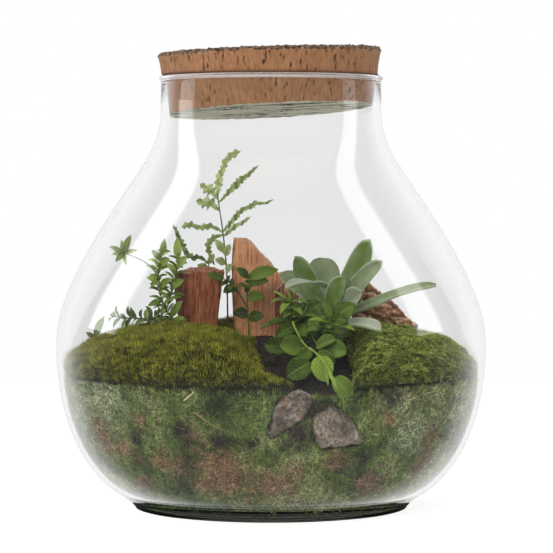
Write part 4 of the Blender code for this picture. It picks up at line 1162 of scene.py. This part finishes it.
banded_rock = stone_finish()
for node_name in ("stone_left", "stone_right"):
    stone_bm = even_skin(node_name, 0.55)
    middle = sum((vertex.co for vertex in stone_bm.verts), Vector()) / len(stone_bm.verts)
    bmesh.ops.scale(stone_bm, vec=STONE_SPREAD, verts=stone_bm.verts, space=Matrix.Translation(-middle))
    bmesh.ops.translate(stone_bm, vec=STONE_FORWARD, verts=stone_bm.verts)
    roughen(stone_bm, broken_face)
    stone = make_object(node_name + "_rock", stone_bm)
    keep_inside(stone.data, 0.4)
    finish_piece(stone, [banded_rock], "field_stone", node_name)

# %% [markdown]
# A stem is a smooth line through a few given points. It could be a curve object with a bevel, but a plant
# of many curves would have to be joined and made a mesh, so a ring is extruded along the line instead. Each
# point is placed in millimetres from the jar's axis and the table.

# %% Helpers for stems


def smooth_line(points, count=6):
    """A smooth line through a stem's points."""
    spine = [Vector(point) for point in points]
    line = [spine[0]]
    for index in range(len(spine) - 1):
        before = spine[max(index - 1, 0)]
        after = spine[min(index + 2, len(spine) - 1)]
        here, there = spine[index], spine[index + 1]
        handle_a = here + (there - before) / 6.0
        handle_b = there - (after - here) / 6.0
        line += interpolate_bezier(here, handle_a, handle_b, there, count + 1)[1:]
    return line


def lengths_along(line):
    """How far along a line each of its points lies."""
    lengths = [0.0]
    for before, after in zip(line, line[1:]):
        lengths.append(lengths[-1] + (after - before).length)
    return lengths


def walk(line, lengths, distance):
    """The place and the direction at a distance along a line."""
    ahead = min(max(int(np.searchsorted(lengths, distance)), 1), len(line) - 1)
    start, end = line[ahead - 1], line[ahead]
    share = (distance - lengths[ahead - 1]) / max(lengths[ahead] - lengths[ahead - 1], 1e-6)
    return start.lerp(end, share), (end - start).normalized()


def new_plant():
    """An empty mesh that has the shade and the leaf map of a plant."""
    bm = bmesh.new()
    bm.verts.layers.float.new("shade")
    bm.loops.layers.uv.new("leaf")
    return bm


def add_stem(bm, points, radius, shade, taper=0.6, sides=7):
    """A round stem: a ring is extruded from point to point, and turned with the line."""
    line = smooth_line(points)
    layer = bm.verts.layers.float["shade"]
    ring = bmesh.ops.create_circle(bm, cap_ends=True, segments=sides, radius=1.0)["verts"]
    turn = Vector((0.0, 0.0, 1.0)).rotation_difference(line[1] - line[0])
    place = Matrix.Translation(line[0]) @ turn.to_matrix().to_4x4() @ Matrix.Scale(radius, 4)
    bmesh.ops.transform(bm, matrix=place, verts=ring)
    for vertex in ring:
        vertex[layer] = shade
    edges = [edge for edge in bm.edges if edge.verts[0] in ring and edge.verts[1] in ring]
    way = (line[1] - line[0]).normalized()
    for index in range(1, len(line)):
        ahead = (line[min(index + 1, len(line) - 1)] - line[index - 1]).normalized()
        turn = way.rotation_difference(ahead) @ turn
        way = ahead
        size = radius * (1.0 - (1.0 - taper) * index / (len(line) - 1))
        following = Matrix.Translation(line[index]) @ turn.to_matrix().to_4x4() @ Matrix.Scale(size, 4)
        grown = bmesh.ops.extrude_edge_only(bm, edges=edges)["geom"]
        ring = [item for item in grown if isinstance(item, bmesh.types.BMVert)]
        edges = [item for item in grown if isinstance(item, bmesh.types.BMEdge)
                 and item.verts[0] in ring and item.verts[1] in ring]
        bmesh.ops.transform(bm, matrix=following @ place.inverted(), verts=ring)
        place = following
    bmesh.ops.contextual_create(bm, geom=edges)


print("stem helpers are ready")

# %% [markdown]
# A leaf starts as a flat grid, which is a sheet with a grid of corners. Its corners are then moved: the
# outline sets how wide each row is, the row follows the leaf's arched midrib, and the two halves fold up
# from it. A sheet needs a thickness to be a real leaf, so it is made solid last.

# %% Helpers for leaves
LENS = (0.7, 0.9)
ROUND = (0.5, 0.52)
SPOON = (0.8, 0.55)
TOWARDS_VIEWER = (0.0, -1.0, 0.25)
TOWARDS_SKY = (0.0, -0.35, 1.0)


def outline_width(outline, share):
    """How wide a leaf is at a share of its length, from how blunt its foot and its tip are."""
    foot, tip = outline
    widest = foot / (foot + tip)
    here = limited(share)
    return (here ** foot * (1.0 - here) ** tip) / (widest ** foot * (1.0 - widest) ** tip)


def thicken(bm, corners, thick):
    """Makes a sheet solid."""
    faces = list({face for corner in corners for face in corner.link_faces})
    bmesh.ops.solidify(bm, geom=faces, thickness=thick)


def add_leaf(bm, base, tip, width, face, outline, shade, bend=0.12, thick=0.4, fold=0.1, wave=0.0, waves=0.0,
             notches=0, rows=10, columns=6):
    """One leaf from foot to tip. wave lifts its edges as often as waves says; notches scallop them."""
    start, end = Vector(base), Vector(tip)
    length = (end - start).length
    up_way = Vector(face).normalized()
    made = bmesh.ops.create_grid(bm, x_segments=columns, y_segments=rows, size=1.0, calc_uvs=True)["verts"]
    layer = bm.verts.layers.float["shade"]
    along = (end - start).normalized()
    across = along.cross(up_way).normalized()
    up = across.cross(along).normalized()
    for vertex in made:
        side = vertex.co.x
        share = (vertex.co.y + 1.0) * 0.5
        arch = 4.0 * share * (1.0 - share) * bend * length
        half = max(width * 0.5 * outline_width(outline, share), 0.12)
        half *= 1.0 - 0.1 * abs(math.sin(math.pi * notches * share))
        ripple = wave * math.sin(2.0 * math.pi * waves * share + (1.4 if side > 0.0 else 0.0)) * side * side
        lift = (2.0 * half * fold) * abs(side) ** 1.4 + ripple
        vertex.co = start + along * (length * share) + up_way * arch + across * (half * side) + up * lift
        vertex[layer] = shade
    thicken(bm, made, thick)


def leaf_pairs(line, first, last, step, length, width, seed, shade):
    """Pairs of leaves up a stem, each pair turned by a quarter, with a little chance in size and angle."""
    chance = random.Random(seed)
    path = smooth_line(line, 12)
    lengths = lengths_along(path)
    total = lengths[-1]
    leaves = []
    where = first * total
    turn = chance.uniform(0.0, math.pi)
    while where < last * total:
        foot, way = walk(path, lengths, where)
        side_a = way.cross(Vector((0.0, 1.0, 0.2))).normalized()
        side_b = way.cross(side_a).normalized()
        fade = 1.0 - 0.35 * where / total
        for half_turn in (0.0, math.pi):
            angle = turn + half_turn + chance.uniform(-0.35, 0.35)
            out = side_a * math.cos(angle) + side_b * math.sin(angle) + way * chance.uniform(0.15, 0.6)
            reach = out.normalized() * (length * fade * chance.uniform(0.75, 1.15))
            face = way + Vector((chance.uniform(-0.3, 0.3), -0.9, 0.3))
            leaves.append((foot, foot + reach, width * fade * chance.uniform(0.85, 1.15), face,
                           shade + chance.uniform(-0.2, 0.2)))
        turn += 0.5 * math.pi
        where += step
    return leaves


def grow(name, node, slot, finish, stems, leaves, seed, outline=LENS, **shape):
    """A plant from its stems and leaves; each leaf is a foot, a tip, a width, a facing and a mean shade."""
    chance = random.Random(seed)
    bm = new_plant()
    for line, radius, shade in stems:
        add_stem(bm, line, radius, shade)
    for base, tip, width, face, shade in leaves:
        add_leaf(bm, base, tip, width, face, outline, limited(shade + chance.uniform(-0.28, 0.28)),
                 bend=0.12 + chance.uniform(-0.08, 0.08), fold=chance.uniform(0.1, 0.3), **shape)
    return finish_piece(make_object(name, bm), [finish], slot, node)


print("leaf helpers are ready")

# %% [markdown]
# Leaves have a soft gloss. Their colour runs from deep to fresh green with each leaf's own shade. The
# leaf's own map, which the grid got when it was made, says how far a place is from the midrib. It draws the
# midrib paler, and on the creeper also side veins that slant towards the tip.

# %% Finish for leaves


def leaf_map(nodes):
    """How far a place is from the midrib, as a share of the width, and how far it is along the leaf."""
    placed = add_node(nodes, "ShaderNodeUVMap", uv_map="leaf").outputs["UV"]
    parts = add_node(nodes, "ShaderNodeSeparateXYZ", {0: placed}).outputs
    return maths(nodes, "ABSOLUTE", maths(nodes, "SUBTRACT", parts["X"], 0.5)), parts["Y"]


def leaf_finish(name, deep, middle, fresh, rib, roughness, rib_width=0.05, veins=0):
    material, nodes, shader = new_finish(name, roughness)
    tone = steps(nodes, stored(nodes, "shade"), ((0.0, deep), (0.5, middle), (1.0, fresh)))
    mottle = grain(nodes, 320.0, 3.0)
    speckled = blend(nodes, mask(nodes, mottle, 0.3, 0.75), tone, fresh)
    body = blend(nodes, 0.35, tone, speckled)
    away, along = leaf_map(nodes)
    if veins:
        slanted = maths(nodes, "MULTIPLY_ADD", away, -0.9, along)
        ridge = maths(nodes, "SINE", maths(nodes, "MULTIPLY", slanted, 2.0 * math.pi * veins))
        body = blend(nodes, mask(nodes, ridge, -1.0, 1.0), blend(nodes, 0.3, body, deep), body)
        body = blend(nodes, mask(nodes, ridge, 0.86, 1.3), body, rib)
    paint(nodes, shader, blend(nodes, mask(nodes, away, rib_width * 0.4, rib_width), rib, body))
    relief(nodes, shader, mottle, 0.25, 0.0004)
    return material


fern_leaf = leaf_finish("fern_leaf", (0.04, 0.08, 0.02), (0.2, 0.29, 0.08), (0.55, 0.63, 0.27),
                        (0.13, 0.2, 0.05), 0.45)
bush_leaf = leaf_finish("bush_leaf", (0.025, 0.055, 0.008), (0.165, 0.255, 0.035), (0.44, 0.55, 0.13),
                        (0.2, 0.3, 0.07), 0.4)
creeper_leaf = leaf_finish("creeper_leaf", (0.012, 0.028, 0.004), (0.08, 0.14, 0.016), (0.26, 0.37, 0.05),
                           (0.16, 0.24, 0.045), 0.44, rib_width=0.035, veins=6)
print("leaf finishes:", fern_leaf.name, bush_leaf.name, creeper_leaf.name)

# %% [markdown]
# The fern's pinnae are crisped ribbons: the blade waves up and down along both edges as it grows, so from
# the front it looks beaded. Each pinna is a long grid whose corners follow a smooth line.

# %% Grow the fern


def add_pinna(bm, points, widths, shade, draw, waves_per_mm=0.16, thick=0.4):
    """A crisped ribbon along a line; its edges rise and fall and its width pulses."""
    line = smooth_line(points, 8)
    lengths = lengths_along(line)
    total = lengths[-1]
    rows = max(int(total / 0.6), 12)
    made = bmesh.ops.create_grid(bm, x_segments=4, y_segments=rows, size=1.0, calc_uvs=True)["verts"]
    layer = bm.verts.layers.float["shade"]
    places = np.linspace(0.0, 1.0, len(widths))
    phase = draw.uniform(0.0, 6.0)
    for vertex in made:
        side = vertex.co.x
        share = (vertex.co.y + 1.0) * 0.5
        centre, along = walk(line, lengths, share * total)
        tip = 1.0 if share < 0.93 else (1.0 - share) / 0.07 * 0.9 + 0.1
        width = float(np.interp(share, places, widths)) * tip
        swing = 2.0 * math.pi * waves_per_mm * share * total + phase + 1.5 * noise.noise(centre / 5.0)
        facing = Vector((0.35 * math.sin(swing * 0.5), -1.0, 0.5 * math.sin(swing * 0.5 + 0.6)))
        across = along.cross(facing).normalized()
        up = across.cross(along).normalized()
        half = max(0.5 * width * (0.86 + 0.26 * math.sin(swing * 2.0 + 1.3 * side)), 0.14)
        lift = 0.42 * width * side * abs(side) * math.sin(swing + (1.7 if side > 0.0 else 0.0))
        vertex.co = centre + across * (half * side) + up * lift
        vertex[layer] = limited(shade + 0.25 * math.sin(swing + 2.0 * side))
    thicken(bm, made, thick)


TALL_STALK = ((-28, 45, 98), (-28, 45, 114), (-28.9, 46, 148), (-31.5, 46, 173), (-33.6, 46, 186.5),
              (-34.8, 46, 197))
TALL_PINNAE = (
    (((-34.4, 46, 194), (-34.2, 45.5, 200), (-33.3, 44.5, 205.6), (-31.5, 44, 210.5), (-29.5, 44, 215),
      (-26, 44, 219), (-19.9, 44, 221.7)), (1.2, 4.6, 5.0, 3.8, 4.2, 4.6, 3.0), 0.85),
    (((-34.0, 46, 189.5), (-29, 43.5, 194.5), (-25, 43, 198.5), (-21, 42, 202.4), (-15, 41, 207),
      (-8.3, 40, 212.7)), (1.0, 2.0, 4.8, 4.4, 2.4, 1.2), 0.35),
    (((-31.2, 46, 171), (-25, 44, 178), (-19.9, 42, 183.9), (-14, 41, 187), (-9.6, 40, 189), (-4, 39, 189.3),
      (1.3, 38, 191.5)), (1.0, 2.8, 3.8, 3.0, 3.4, 1.6, 1.0), 0.35),
    (((-30.9, 46, 168), (-24, 43, 174), (-18.5, 41, 177), (-13.5, 40, 180.5)), (1.0, 3.8, 2.6, 1.4), 0.5),
    (((-34.4, 46, 192), (-39.5, 45, 197.5), (-46, 44, 201.5)), (1.4, 6.8, 4.0), 0.72),
    (((-33.3, 46, 184.5), (-39.5, 45, 189), (-48.5, 43, 191)), (1.4, 7.4, 4.4), 0.68),
    (((-31.3, 46, 171), (-36, 45.5, 173.5), (-41, 45, 174.5), (-47, 44.5, 174), (-52, 44, 175.5),
      (-58, 44, 174.5)), (1.0, 3.2, 3.8, 3.4, 4.0, 3.0), 0.45),
    (((-31.0, 46, 169), (-36.5, 47, 167.5), (-40.5, 48, 163), (-40, 49, 157), (-36.5, 50, 150)),
     (1.0, 4.0, 3.8, 3.0, 1.8), 0.3),
)
TALL_LEAVES = (((-30.2, 46, 158), (-36, 43, 166)), ((-29.8, 46, 156), (-26, 37.5, 163)),
               ((-29.3, 46, 151), (-36, 42.5, 153.5)), ((-29.1, 46, 146), (-24.5, 37.5, 150)))
LOW_STALK = ((-41, 46, 98), (-41, 46, 114), (-40, 46, 140), (-40.5, 45, 154))
LOW_PINNA = (((-40.4, 45, 151), (-45, 44, 154.5), (-50.8, 43, 155), (-55.7, 42, 159.5), (-58.9, 42, 166.5),
              (-61, 42, 171), (-63.4, 42, 176)), (1.0, 3.2, 3.4, 4.2, 4.2, 3.2, 1.4), 0.25)
LOW_LEAVES = (((-40.2, 45.5, 147), (-47.5, 42, 150), 4.6), ((-40.1, 45.5, 143), (-34.5, 42, 147), 4.2),
              ((-40.4, 45, 151), (-36.5, 42, 157), 4.0))

draw = random.Random(7)
fern_bm = new_plant()
add_stem(fern_bm, TALL_STALK, 0.6, 0.05)
for line, widths, shade in TALL_PINNAE:
    # Each pinna is painted 0.2 lighter: a painted glow for the light that shines through the fern from
    # behind.
    add_pinna(fern_bm, line, widths, shade + 0.2, draw)
for base, tip in TALL_LEAVES:
    add_leaf(fern_bm, base, tip, 4.8, TOWARDS_VIEWER, LENS, 0.9, wave=0.6, waves=2.0)
finish_piece(make_object("fern_tall", fern_bm), [fern_leaf], "fern_green", "fern_frond_tall")

low_bm = new_plant()
add_stem(low_bm, LOW_STALK, 0.6, 0.05)
add_pinna(low_bm, *LOW_PINNA, draw)
for base, tip, width in LOW_LEAVES:
    add_leaf(low_bm, base, tip, width, TOWARDS_VIEWER, LENS, 0.7, wave=0.6, waves=2.0)
finish_piece(make_object("fern_low", low_bm), [fern_leaf], "fern_green", "fern_frond_low")

# %% [markdown]
# The leafy stem, the low sprigs and the lone leaf by the glass are all of one kind of building: thin stems
# with small pointed leaves. Each plant is one piece, as it is one node.

# %% Grow the leafy plants
STEM_LEAVES = (((-63.2, 3.7, 119), (-55.5, -1, 129), 7.0), ((-61.6, 3.4, 116), (-54, 0, 118.5), 5.5),
               ((-68.4, 4.8, 129), (-77, 2, 126), 5.0), ((-69.8, 5.4, 137), (-62.8, 1.5, 143), 6.4),
               ((-70.3, 5.7, 141), (-78, 3, 143.5), 5.0), ((-70.5, 5.9, 143), (-75.5, 2, 137), 4.4),
               ((-70.2, 6.4, 150), (-63.6, 4, 155), 5.6), ((-69.2, 6.8, 154), (-75, 5, 160.5), 5.2),
               ((-68.3, 7, 157), (-66.8, 5, 167.5), 6.0), ((-61.9, 4.9, 137), (-54.5, 2, 142), 6.0),
               ((-59.6, 5.4, 146), (-65, 3, 152), 4.6), ((-58.9, 5.5, 149.5), (-52.6, 3, 157), 6.4),
               ((-58.5, 5.5, 155), (-59, 4, 168), 7.0))
WHORL_TIPS = (((-88.2, 9, 170), 4.4), ((-84.5, 10, 160.5), 2.6), ((-98.0, 8, 153.5), 3.6),
              ((-102.0, 9, 163), 3.2), ((-94.5, 11, 167.0), 3.0), ((-91.0, 8, 151.0), 2.4),
              ((-100.5, 12, 158.0), 2.6))
MAIN_STEM = ((-60, 3, 102), (-60, 3, 114), (-65, 4, 122), (-69, 5, 130.5), (-70.9, 6, 147))
UPPER_STEM = ((-70.9, 6, 146), (-69.8, 6.5, 153), (-68, 7, 159))
SIDE_STEM = ((-65.6, 4.1, 123), (-61.5, 5, 138), (-59, 5.5, 149), (-58.4, 5.5, 158))
GLASS_BRANCH = ((-70.8, 6, 144), (-76.5, 8, 150.5), (-84, 11, 155), (-94, 13, 158.5))
stem_leaves = [(base, tip, width * 0.72, TOWARDS_VIEWER, 0.6) for base, tip, width in STEM_LEAVES]
stem_leaves += [((-93.2, 12.8, 158.2), tip, width, TOWARDS_VIEWER, 0.5) for tip, width in WHORL_TIPS]
stem_leaves += leaf_pairs(MAIN_STEM, 0.25, 1.0, 2.3, 9.0, 3.3, 31, 0.5)
stem_leaves += leaf_pairs(UPPER_STEM, 0.1, 1.0, 1.9, 8.0, 3.0, 32, 0.65)
stem_leaves += leaf_pairs(SIDE_STEM, 0.1, 1.0, 2.2, 9.0, 3.2, 33, 0.5)
grow("leafy_stem", "leafy_stem_left", "leaf_green", bush_leaf,
     ((MAIN_STEM, 0.75, 0.3), (UPPER_STEM, 0.55, 0.3), (SIDE_STEM, 0.55, 0.3), (GLASS_BRANCH, 0.45, 0.1)),
     stem_leaves, 3)

LONG_SPRIG = ((-77, 1, 99), (-77, 1, 115.5), (-84, -1, 118), (-93, -3, 118.5), (-101, -4, 120.5))
SHORT_SPRIG = ((-77, 1, 114.2), (-74, 0, 118), (-67, -2, 121))
sprig_leaves = leaf_pairs(LONG_SPRIG, 0.42, 0.98, 3.4, 11.5, 4.4, 41, 0.05)
sprig_leaves += leaf_pairs(SHORT_SPRIG, 0.1, 1.0, 2.4, 10.5, 4.6, 42, 0.05)
grow("floor_sprigs", "floor_sprig", "fern_green", fern_leaf,
     ((LONG_SPRIG, 0.6, 0.1), (SHORT_SPRIG, 0.5, 0.1)), sprig_leaves, 5)

grow("lone_leaf", "small_leaf_left", "leaf_green", bush_leaf,
     ((((-110, -4, 90), (-110, -4, 106), (-110.5, -4, 110)), 0.6, 0.1),),
     (((-110.2, -4, 106.5), (-104, -5, 119.5), 4.6, TOWARDS_VIEWER, 0.2),
      ((-110.1, -4, 106), (-115.5, -5, 109.5), 3.0, TOWARDS_VIEWER, 0.2)), 6)

# %% [markdown]
# The succulent's leaves are thick and cool grey-green with a waxy bloom and pale margins. They are spoons
# that fold a little along the middle.

# %% Grow the succulent


def succulent_finish():
    material, nodes, shader = new_finish("succulent_leaf", 0.5)
    tone = steps(nodes, stored(nodes, "shade"), ((0.0, (0.12, 0.21, 0.015)), (0.5, (0.14, 0.2, 0.06)),
                                                 (1.0, (0.33, 0.35, 0.27))))
    bloom = grain(nodes, 120.0, 5.0)
    waxy = blend(nodes, mask(nodes, bloom, 0.42, 0.66), tone, (0.28, 0.34, 0.2))
    body = blend(nodes, 0.6, tone, waxy)
    away, along = leaf_map(nodes)
    paint(nodes, shader, blend(nodes, mask(nodes, away, 0.46, 0.5), body, (0.3, 0.36, 0.2)))
    shader.inputs["Sheen Weight"].default_value = 0.3
    return material


SUCCULENT_LEAVES = (
    ((34.6, -26.5, 121), (14.5, -30, 157.4), 14, (0.45, -1.0, 0.2), -0.08, 0.05),
    ((35.6, -25.8, 122), (31, -3, 155.5), 20, (0.0, -1.0, 0.35), 0.1, 0.62),
    ((36.6, -27.2, 120), (60.5, -38, 167.8), 17, (-0.5, -0.9, 0.2), -0.08, 0.1),
    ((37.2, -28.6, 119), (67.6, -44, 155), 11, (-0.1, -0.9, 0.6), 0.1, 0.6),
    ((37.5, -28, 115.5), (99.6, -47, 140.5), 9.5, (-0.25, -0.48, 0.85), 0.06, 0.55),
    ((37.0, -29.5, 136.5), (8.5, -55, 138.5), 11, (0.1, 0.0, 1.0), 0.12, 0.98),
    ((37, -29.5, 117), (55, -53, 137), 14, (0.0, -0.85, 0.5), 0.1, 0.85),
    ((37.5, -30, 113), (66, -72, 114.5), 11, (0.0, -0.6, 0.8), 0.1, 0.95),
    ((34.2, -25.8, 123), (6, 3, 146.5), 13, (0.3, -1.0, 0.4), 0.08, 0.55),
    ((36.2, -28.6, 120), (44, -42, 146), 12, (-0.3, -0.9, 0.3), 0.12, 0.0),
)
SUCCULENT_STALK = ((36, -28, 98), (36, -28, 114), (35.5, -27, 127), (37, -29, 137.5))
succulent_bm = new_plant()
add_stem(succulent_bm, SUCCULENT_STALK, 2.4, 0.1, sides=10)
for base, tip, width, face, bend, shade in SUCCULENT_LEAVES:
    add_leaf(succulent_bm, base, tip, width, face, SPOON, shade, bend=bend, thick=1.4, fold=0.16, wave=0.7,
             waves=1.3, rows=18, columns=8)
finish_piece(make_object("succulent_rosette", succulent_bm), [succulent_finish()], "grey_green", "succulent")

# %% [markdown]
# The creeper is the brightest green in the jar. Four of its stems show: one ends in a whorl of narrow
# leaves, one carries folded leaves, one hangs down the valley with round leaves and buds, with a side stem
# that joins it to the whorl, and one stands between the barks. The large leaves are placed one by one.
# Small pairs fill the stems between them.

# %% Grow the creeper
WHORL = (((-0.5, -59, 130), 4.6), ((1.5, -57, 137), 4.6), ((8.5, -60, 139.5), 4.4), ((17, -59.5, 138.5), 4.4),
         ((22, -60, 130), 5.0), ((19, -65, 123), 5.0), ((5.5, -65, 123.5), 5.0))
WHORL_STEM = ((17, -50, 97), (17, -50, 108), (15.5, -53, 119), (11.6, -55.5, 131))
whorl_leaves = [((11.9, -55.3, 129.6), tip, width, TOWARDS_SKY, 0.75) for tip, width in WHORL]
whorl_leaves += [((15.7, -52.6, 118), (-6.5, -60, 114.6), 7.4, TOWARDS_SKY, 0.5),
                 ((15.3, -53.3, 119.5), (28.5, -58, 121.5), 5.0, TOWARDS_SKY, 0.7),
                 ((16.5, -51, 112), (7, -43, 113.5), 6.5, TOWARDS_SKY, 0.2),
                 ((15.6, -53, 117), (2, -62, 109), 8.0, TOWARDS_VIEWER, 0.3),
                 ((15.6, -53, 117), (22, -64, 110), 8.0, TOWARDS_VIEWER, 0.45),
                 # The leaves of shade 0 sit behind the others and are painted nearly black, a painted shade
                 # deep in the plant.
                 ((16.5, -51, 112), (29, -42, 123), 11.0, TOWARDS_VIEWER, 0.0),
                 ((16.5, -51, 110), (27, -41, 113), 11.0, TOWARDS_VIEWER, 0.0),
                 ((16.5, -51, 112), (20, -42, 125), 10.0, TOWARDS_VIEWER, 0.0),
                 ((15.7, -52.6, 118), (31, -41, 130), 11.0, TOWARDS_VIEWER, 0.0),
                 ((15.7, -52.6, 118), (25, -43, 131), 9.0, TOWARDS_VIEWER, 0.0)]
whorl_leaves += leaf_pairs(((14.5, -54, 123), (11.6, -55.5, 131)), 0.0, 1.0, 2.6, 9.0, 4.4, 51, 0.7)
whorl_leaves += leaf_pairs(WHORL_STEM, 0.3, 0.85, 2.2, 9.5, 5.6, 52, 0.4)
grow("creeper_whorl_stem", "creeper_whorl", "creeper_green", creeper_leaf, ((WHORL_STEM, 0.8, 0.8),),
     whorl_leaves, 8)

CLUSTER_STEM = ((30, -62, 96), (30, -62, 108), (33, -66, 115), (36, -69, 122))
CLUSTER = [((35.4, -68.4, 120), (50.5, -68, 130), 12.0, TOWARDS_VIEWER, 0.35),
           ((34.8, -67.8, 118.5), (50, -76, 114.5), 7.0, TOWARDS_SKY, 0.5),
           ((34.6, -67.6, 118), (22.5, -73, 120.5), 6.5, TOWARDS_SKY, 0.55),
           ((35.8, -68.8, 121), (39, -65, 133), 7.0, TOWARDS_VIEWER, 0.3),
           ((35.8, -68.8, 121), (32, -72, 131), 5.0, TOWARDS_VIEWER, 0.5),
           ((35.8, -68.8, 121), (46, -74, 120), 8.0, TOWARDS_VIEWER, 0.3),
           ((32, -64.6, 112), (19, -66, 111.5), 8.0, TOWARDS_SKY, 0.4),
           ((32, -64.6, 112), (41, -73, 112.5), 9.0, TOWARDS_SKY, 0.45),
           ((31, -63, 109), (24, -72, 112), 8.0, TOWARDS_VIEWER, 0.15),
           # The leaves of shade 0 and 0.05 sit behind the others and are painted nearly black, a painted
           # shade deep in the plant.
           ((32, -64.6, 112), (23, -53, 124), 12.0, TOWARDS_VIEWER, 0.0),
           ((32, -64.6, 110), (47, -55, 118), 12.0, TOWARDS_VIEWER, 0.05)]
CLUSTER += leaf_pairs(CLUSTER_STEM, 0.35, 1.0, 2.2, 9.5, 6.2, 53, 0.45)
grow("creeper_cluster_stem", "creeper_cluster", "creeper_green", creeper_leaf, ((CLUSTER_STEM, 0.8, 0.8),),
     CLUSTER, 9)

HANGING_STEM = ((22, -72, 91), (22, -72, 103), (26, -82, 102), (32.5, -95, 95), (36, -102, 89))
JOINING_STEM = ((15.5, -52.5, 117), (13.2, -66, 118.5), (19, -77, 107.5), (25, -84, 102.3))
HANGING = [((20, -73, 104), (5.5, -78, 106), 13.0, TOWARDS_VIEWER, 0.5),
           ((10, -70, 103), (-3.5, -70, 105.5), 11.0, TOWARDS_VIEWER, 0.1),
           ((30, -78, 103.5), (45, -82, 102), 13.5, (0.0, -0.9, 0.45), 0.35),
           ((27, -78, 104), (39, -80, 109.5), 9.0, (0.0, -0.7, 0.7), 0.5),
           ((29, -88, 99.5), (32, -95.5, 85.5), 14.0, TOWARDS_VIEWER, 0.65),
           ((23.5, -84, 96), (9.5, -90, 88), 14.5, TOWARDS_VIEWER, 0.05),
           ((37.5, -103, 88.5), (47, -108, 76.5), 11.5, TOWARDS_VIEWER, 0.5),
           ((24, -77, 103), (16, -84, 97), 8.5, TOWARDS_VIEWER, 0.2),
           ((27, -83, 101), (38, -88, 96), 8.5, TOWARDS_VIEWER, 0.2)]
BUDS = [((32.2, -94.4, 95.2), (33.5, -106, 84), 2.0, TOWARDS_VIEWER, 0.95),
        ((33.5, -97.0, 93.0), (37.0, -107, 85), 1.8, TOWARDS_VIEWER, 0.85),
        ((35.4, -100.9, 90), (38.5, -109, 81.5), 2.2, TOWARDS_VIEWER, 0.95)]
grow("creeper_hanging_stem", "creeper_front", "creeper_green", creeper_leaf,
     ((HANGING_STEM, 0.8, 1.0), (JOINING_STEM, 0.7, 0.95)),
     HANGING + BUDS, 10, outline=ROUND, notches=9, rows=20)

BEHIND = (((-14.6, 16.8, 142.5), (4.5, 13, 148), 8.0, TOWARDS_VIEWER, 0.8),
          ((-14.6, 16.5, 140), (-1.5, 10, 141), 6.0, TOWARDS_VIEWER, 0.6),
          ((-14.6, 16.8, 143), (-22, 13, 149), 5.0, TOWARDS_VIEWER, 0.5),
          ((-30, 7.3, 142), (-40.5, 4.5, 145.5), 5.0, TOWARDS_VIEWER, 0.4),
          ((-24, 9.4, 137.7), (-30, 5, 134), 5.0, TOWARDS_VIEWER, 0.3),
          ((-14.9, 15.3, 131), (-4, 9, 131), 7.0, TOWARDS_VIEWER, 0.4),
          ((-14.5, 14.7, 120), (-24, 9, 121), 7.0, TOWARDS_VIEWER, 0.2),
          ((-14.4, 14.5, 118), (-4.5, 9, 119), 7.0, TOWARDS_VIEWER, 0.2))
BACK_STEM = ((-14, 14, 97), (-14, 14, 110), (-15, 15, 128), (-14.5, 17, 145))
BACK_BRANCH = ((-15, 15, 124), (-23, 10, 137), (-31, 7, 143))
behind_leaves = list(BEHIND) + leaf_pairs(BACK_STEM, 0.75, 1.0, 3.2, 9.0, 5.0, 61, 0.55)
behind_leaves += leaf_pairs(BACK_BRANCH, 0.5, 1.0, 4.0, 8.0, 4.6, 62, 0.35)
grow("creeper_back_stem", "creeper_back", "creeper_green", creeper_leaf,
     ((BACK_STEM, 0.75, 0.3), (BACK_BRANCH, 0.55, 0.3)), behind_leaves, 12)

# %% [markdown]
# The jar stands on a plain white table top. It is a disc, and the same white goes on behind it, so no edge
# shows. It isn't part of the object. Under the jar's foot a table top gets no light, so the glass there
# shows darkness. A small dark disc, which only mirrored and refracted rays meet, stands in for that shade.

# %% Lay the floor
FLOOR_RADIUS = 1.1
SHADE_RADIUS = 0.0885
SHADE_DROP = 0.0002


def lay_disc(name, radius, finish, unseen_by, drop=0.0):
    """A flat disc around the jar's axis that some kinds of rays pass by."""
    bm = bmesh.new()
    bmesh.ops.create_circle(bm, cap_ends=True, segments=96, radius=radius)
    disc = make_object(name, bm)
    disc.data.materials.append(finish)
    disc.location.z = -drop
    for kind in unseen_by:
        setattr(disc, "visible_" + kind, False)


white, nodes, shader = new_finish("white_table", 0.7, (0.4, 0.4, 0.4))
shader.inputs["Specular IOR Level"].default_value = 0.0
shader.inputs["Emission Color"].default_value = (1.0, 1.0, 1.0, 1.0)
shader.inputs["Emission Strength"].default_value = 0.86
shaded, nodes, shader = new_finish("shaded_table", 0.8, (0.02, 0.026, 0.022))
lay_disc("table_top", FLOOR_RADIUS, white, ("glossy", "transmission"))
lay_disc("table_under_foot", SHADE_RADIUS, shaded, ("camera", "diffuse", "shadow"), SHADE_DROP)

# %% [markdown]
# The tufts and the crumb that were scattered did their work, so they are removed.

# %% Remove the patterns that were only scattered
for helper in (hair_tuft, star_tuft, strand, straw, crumb):
    bpy.data.objects.remove(helper)
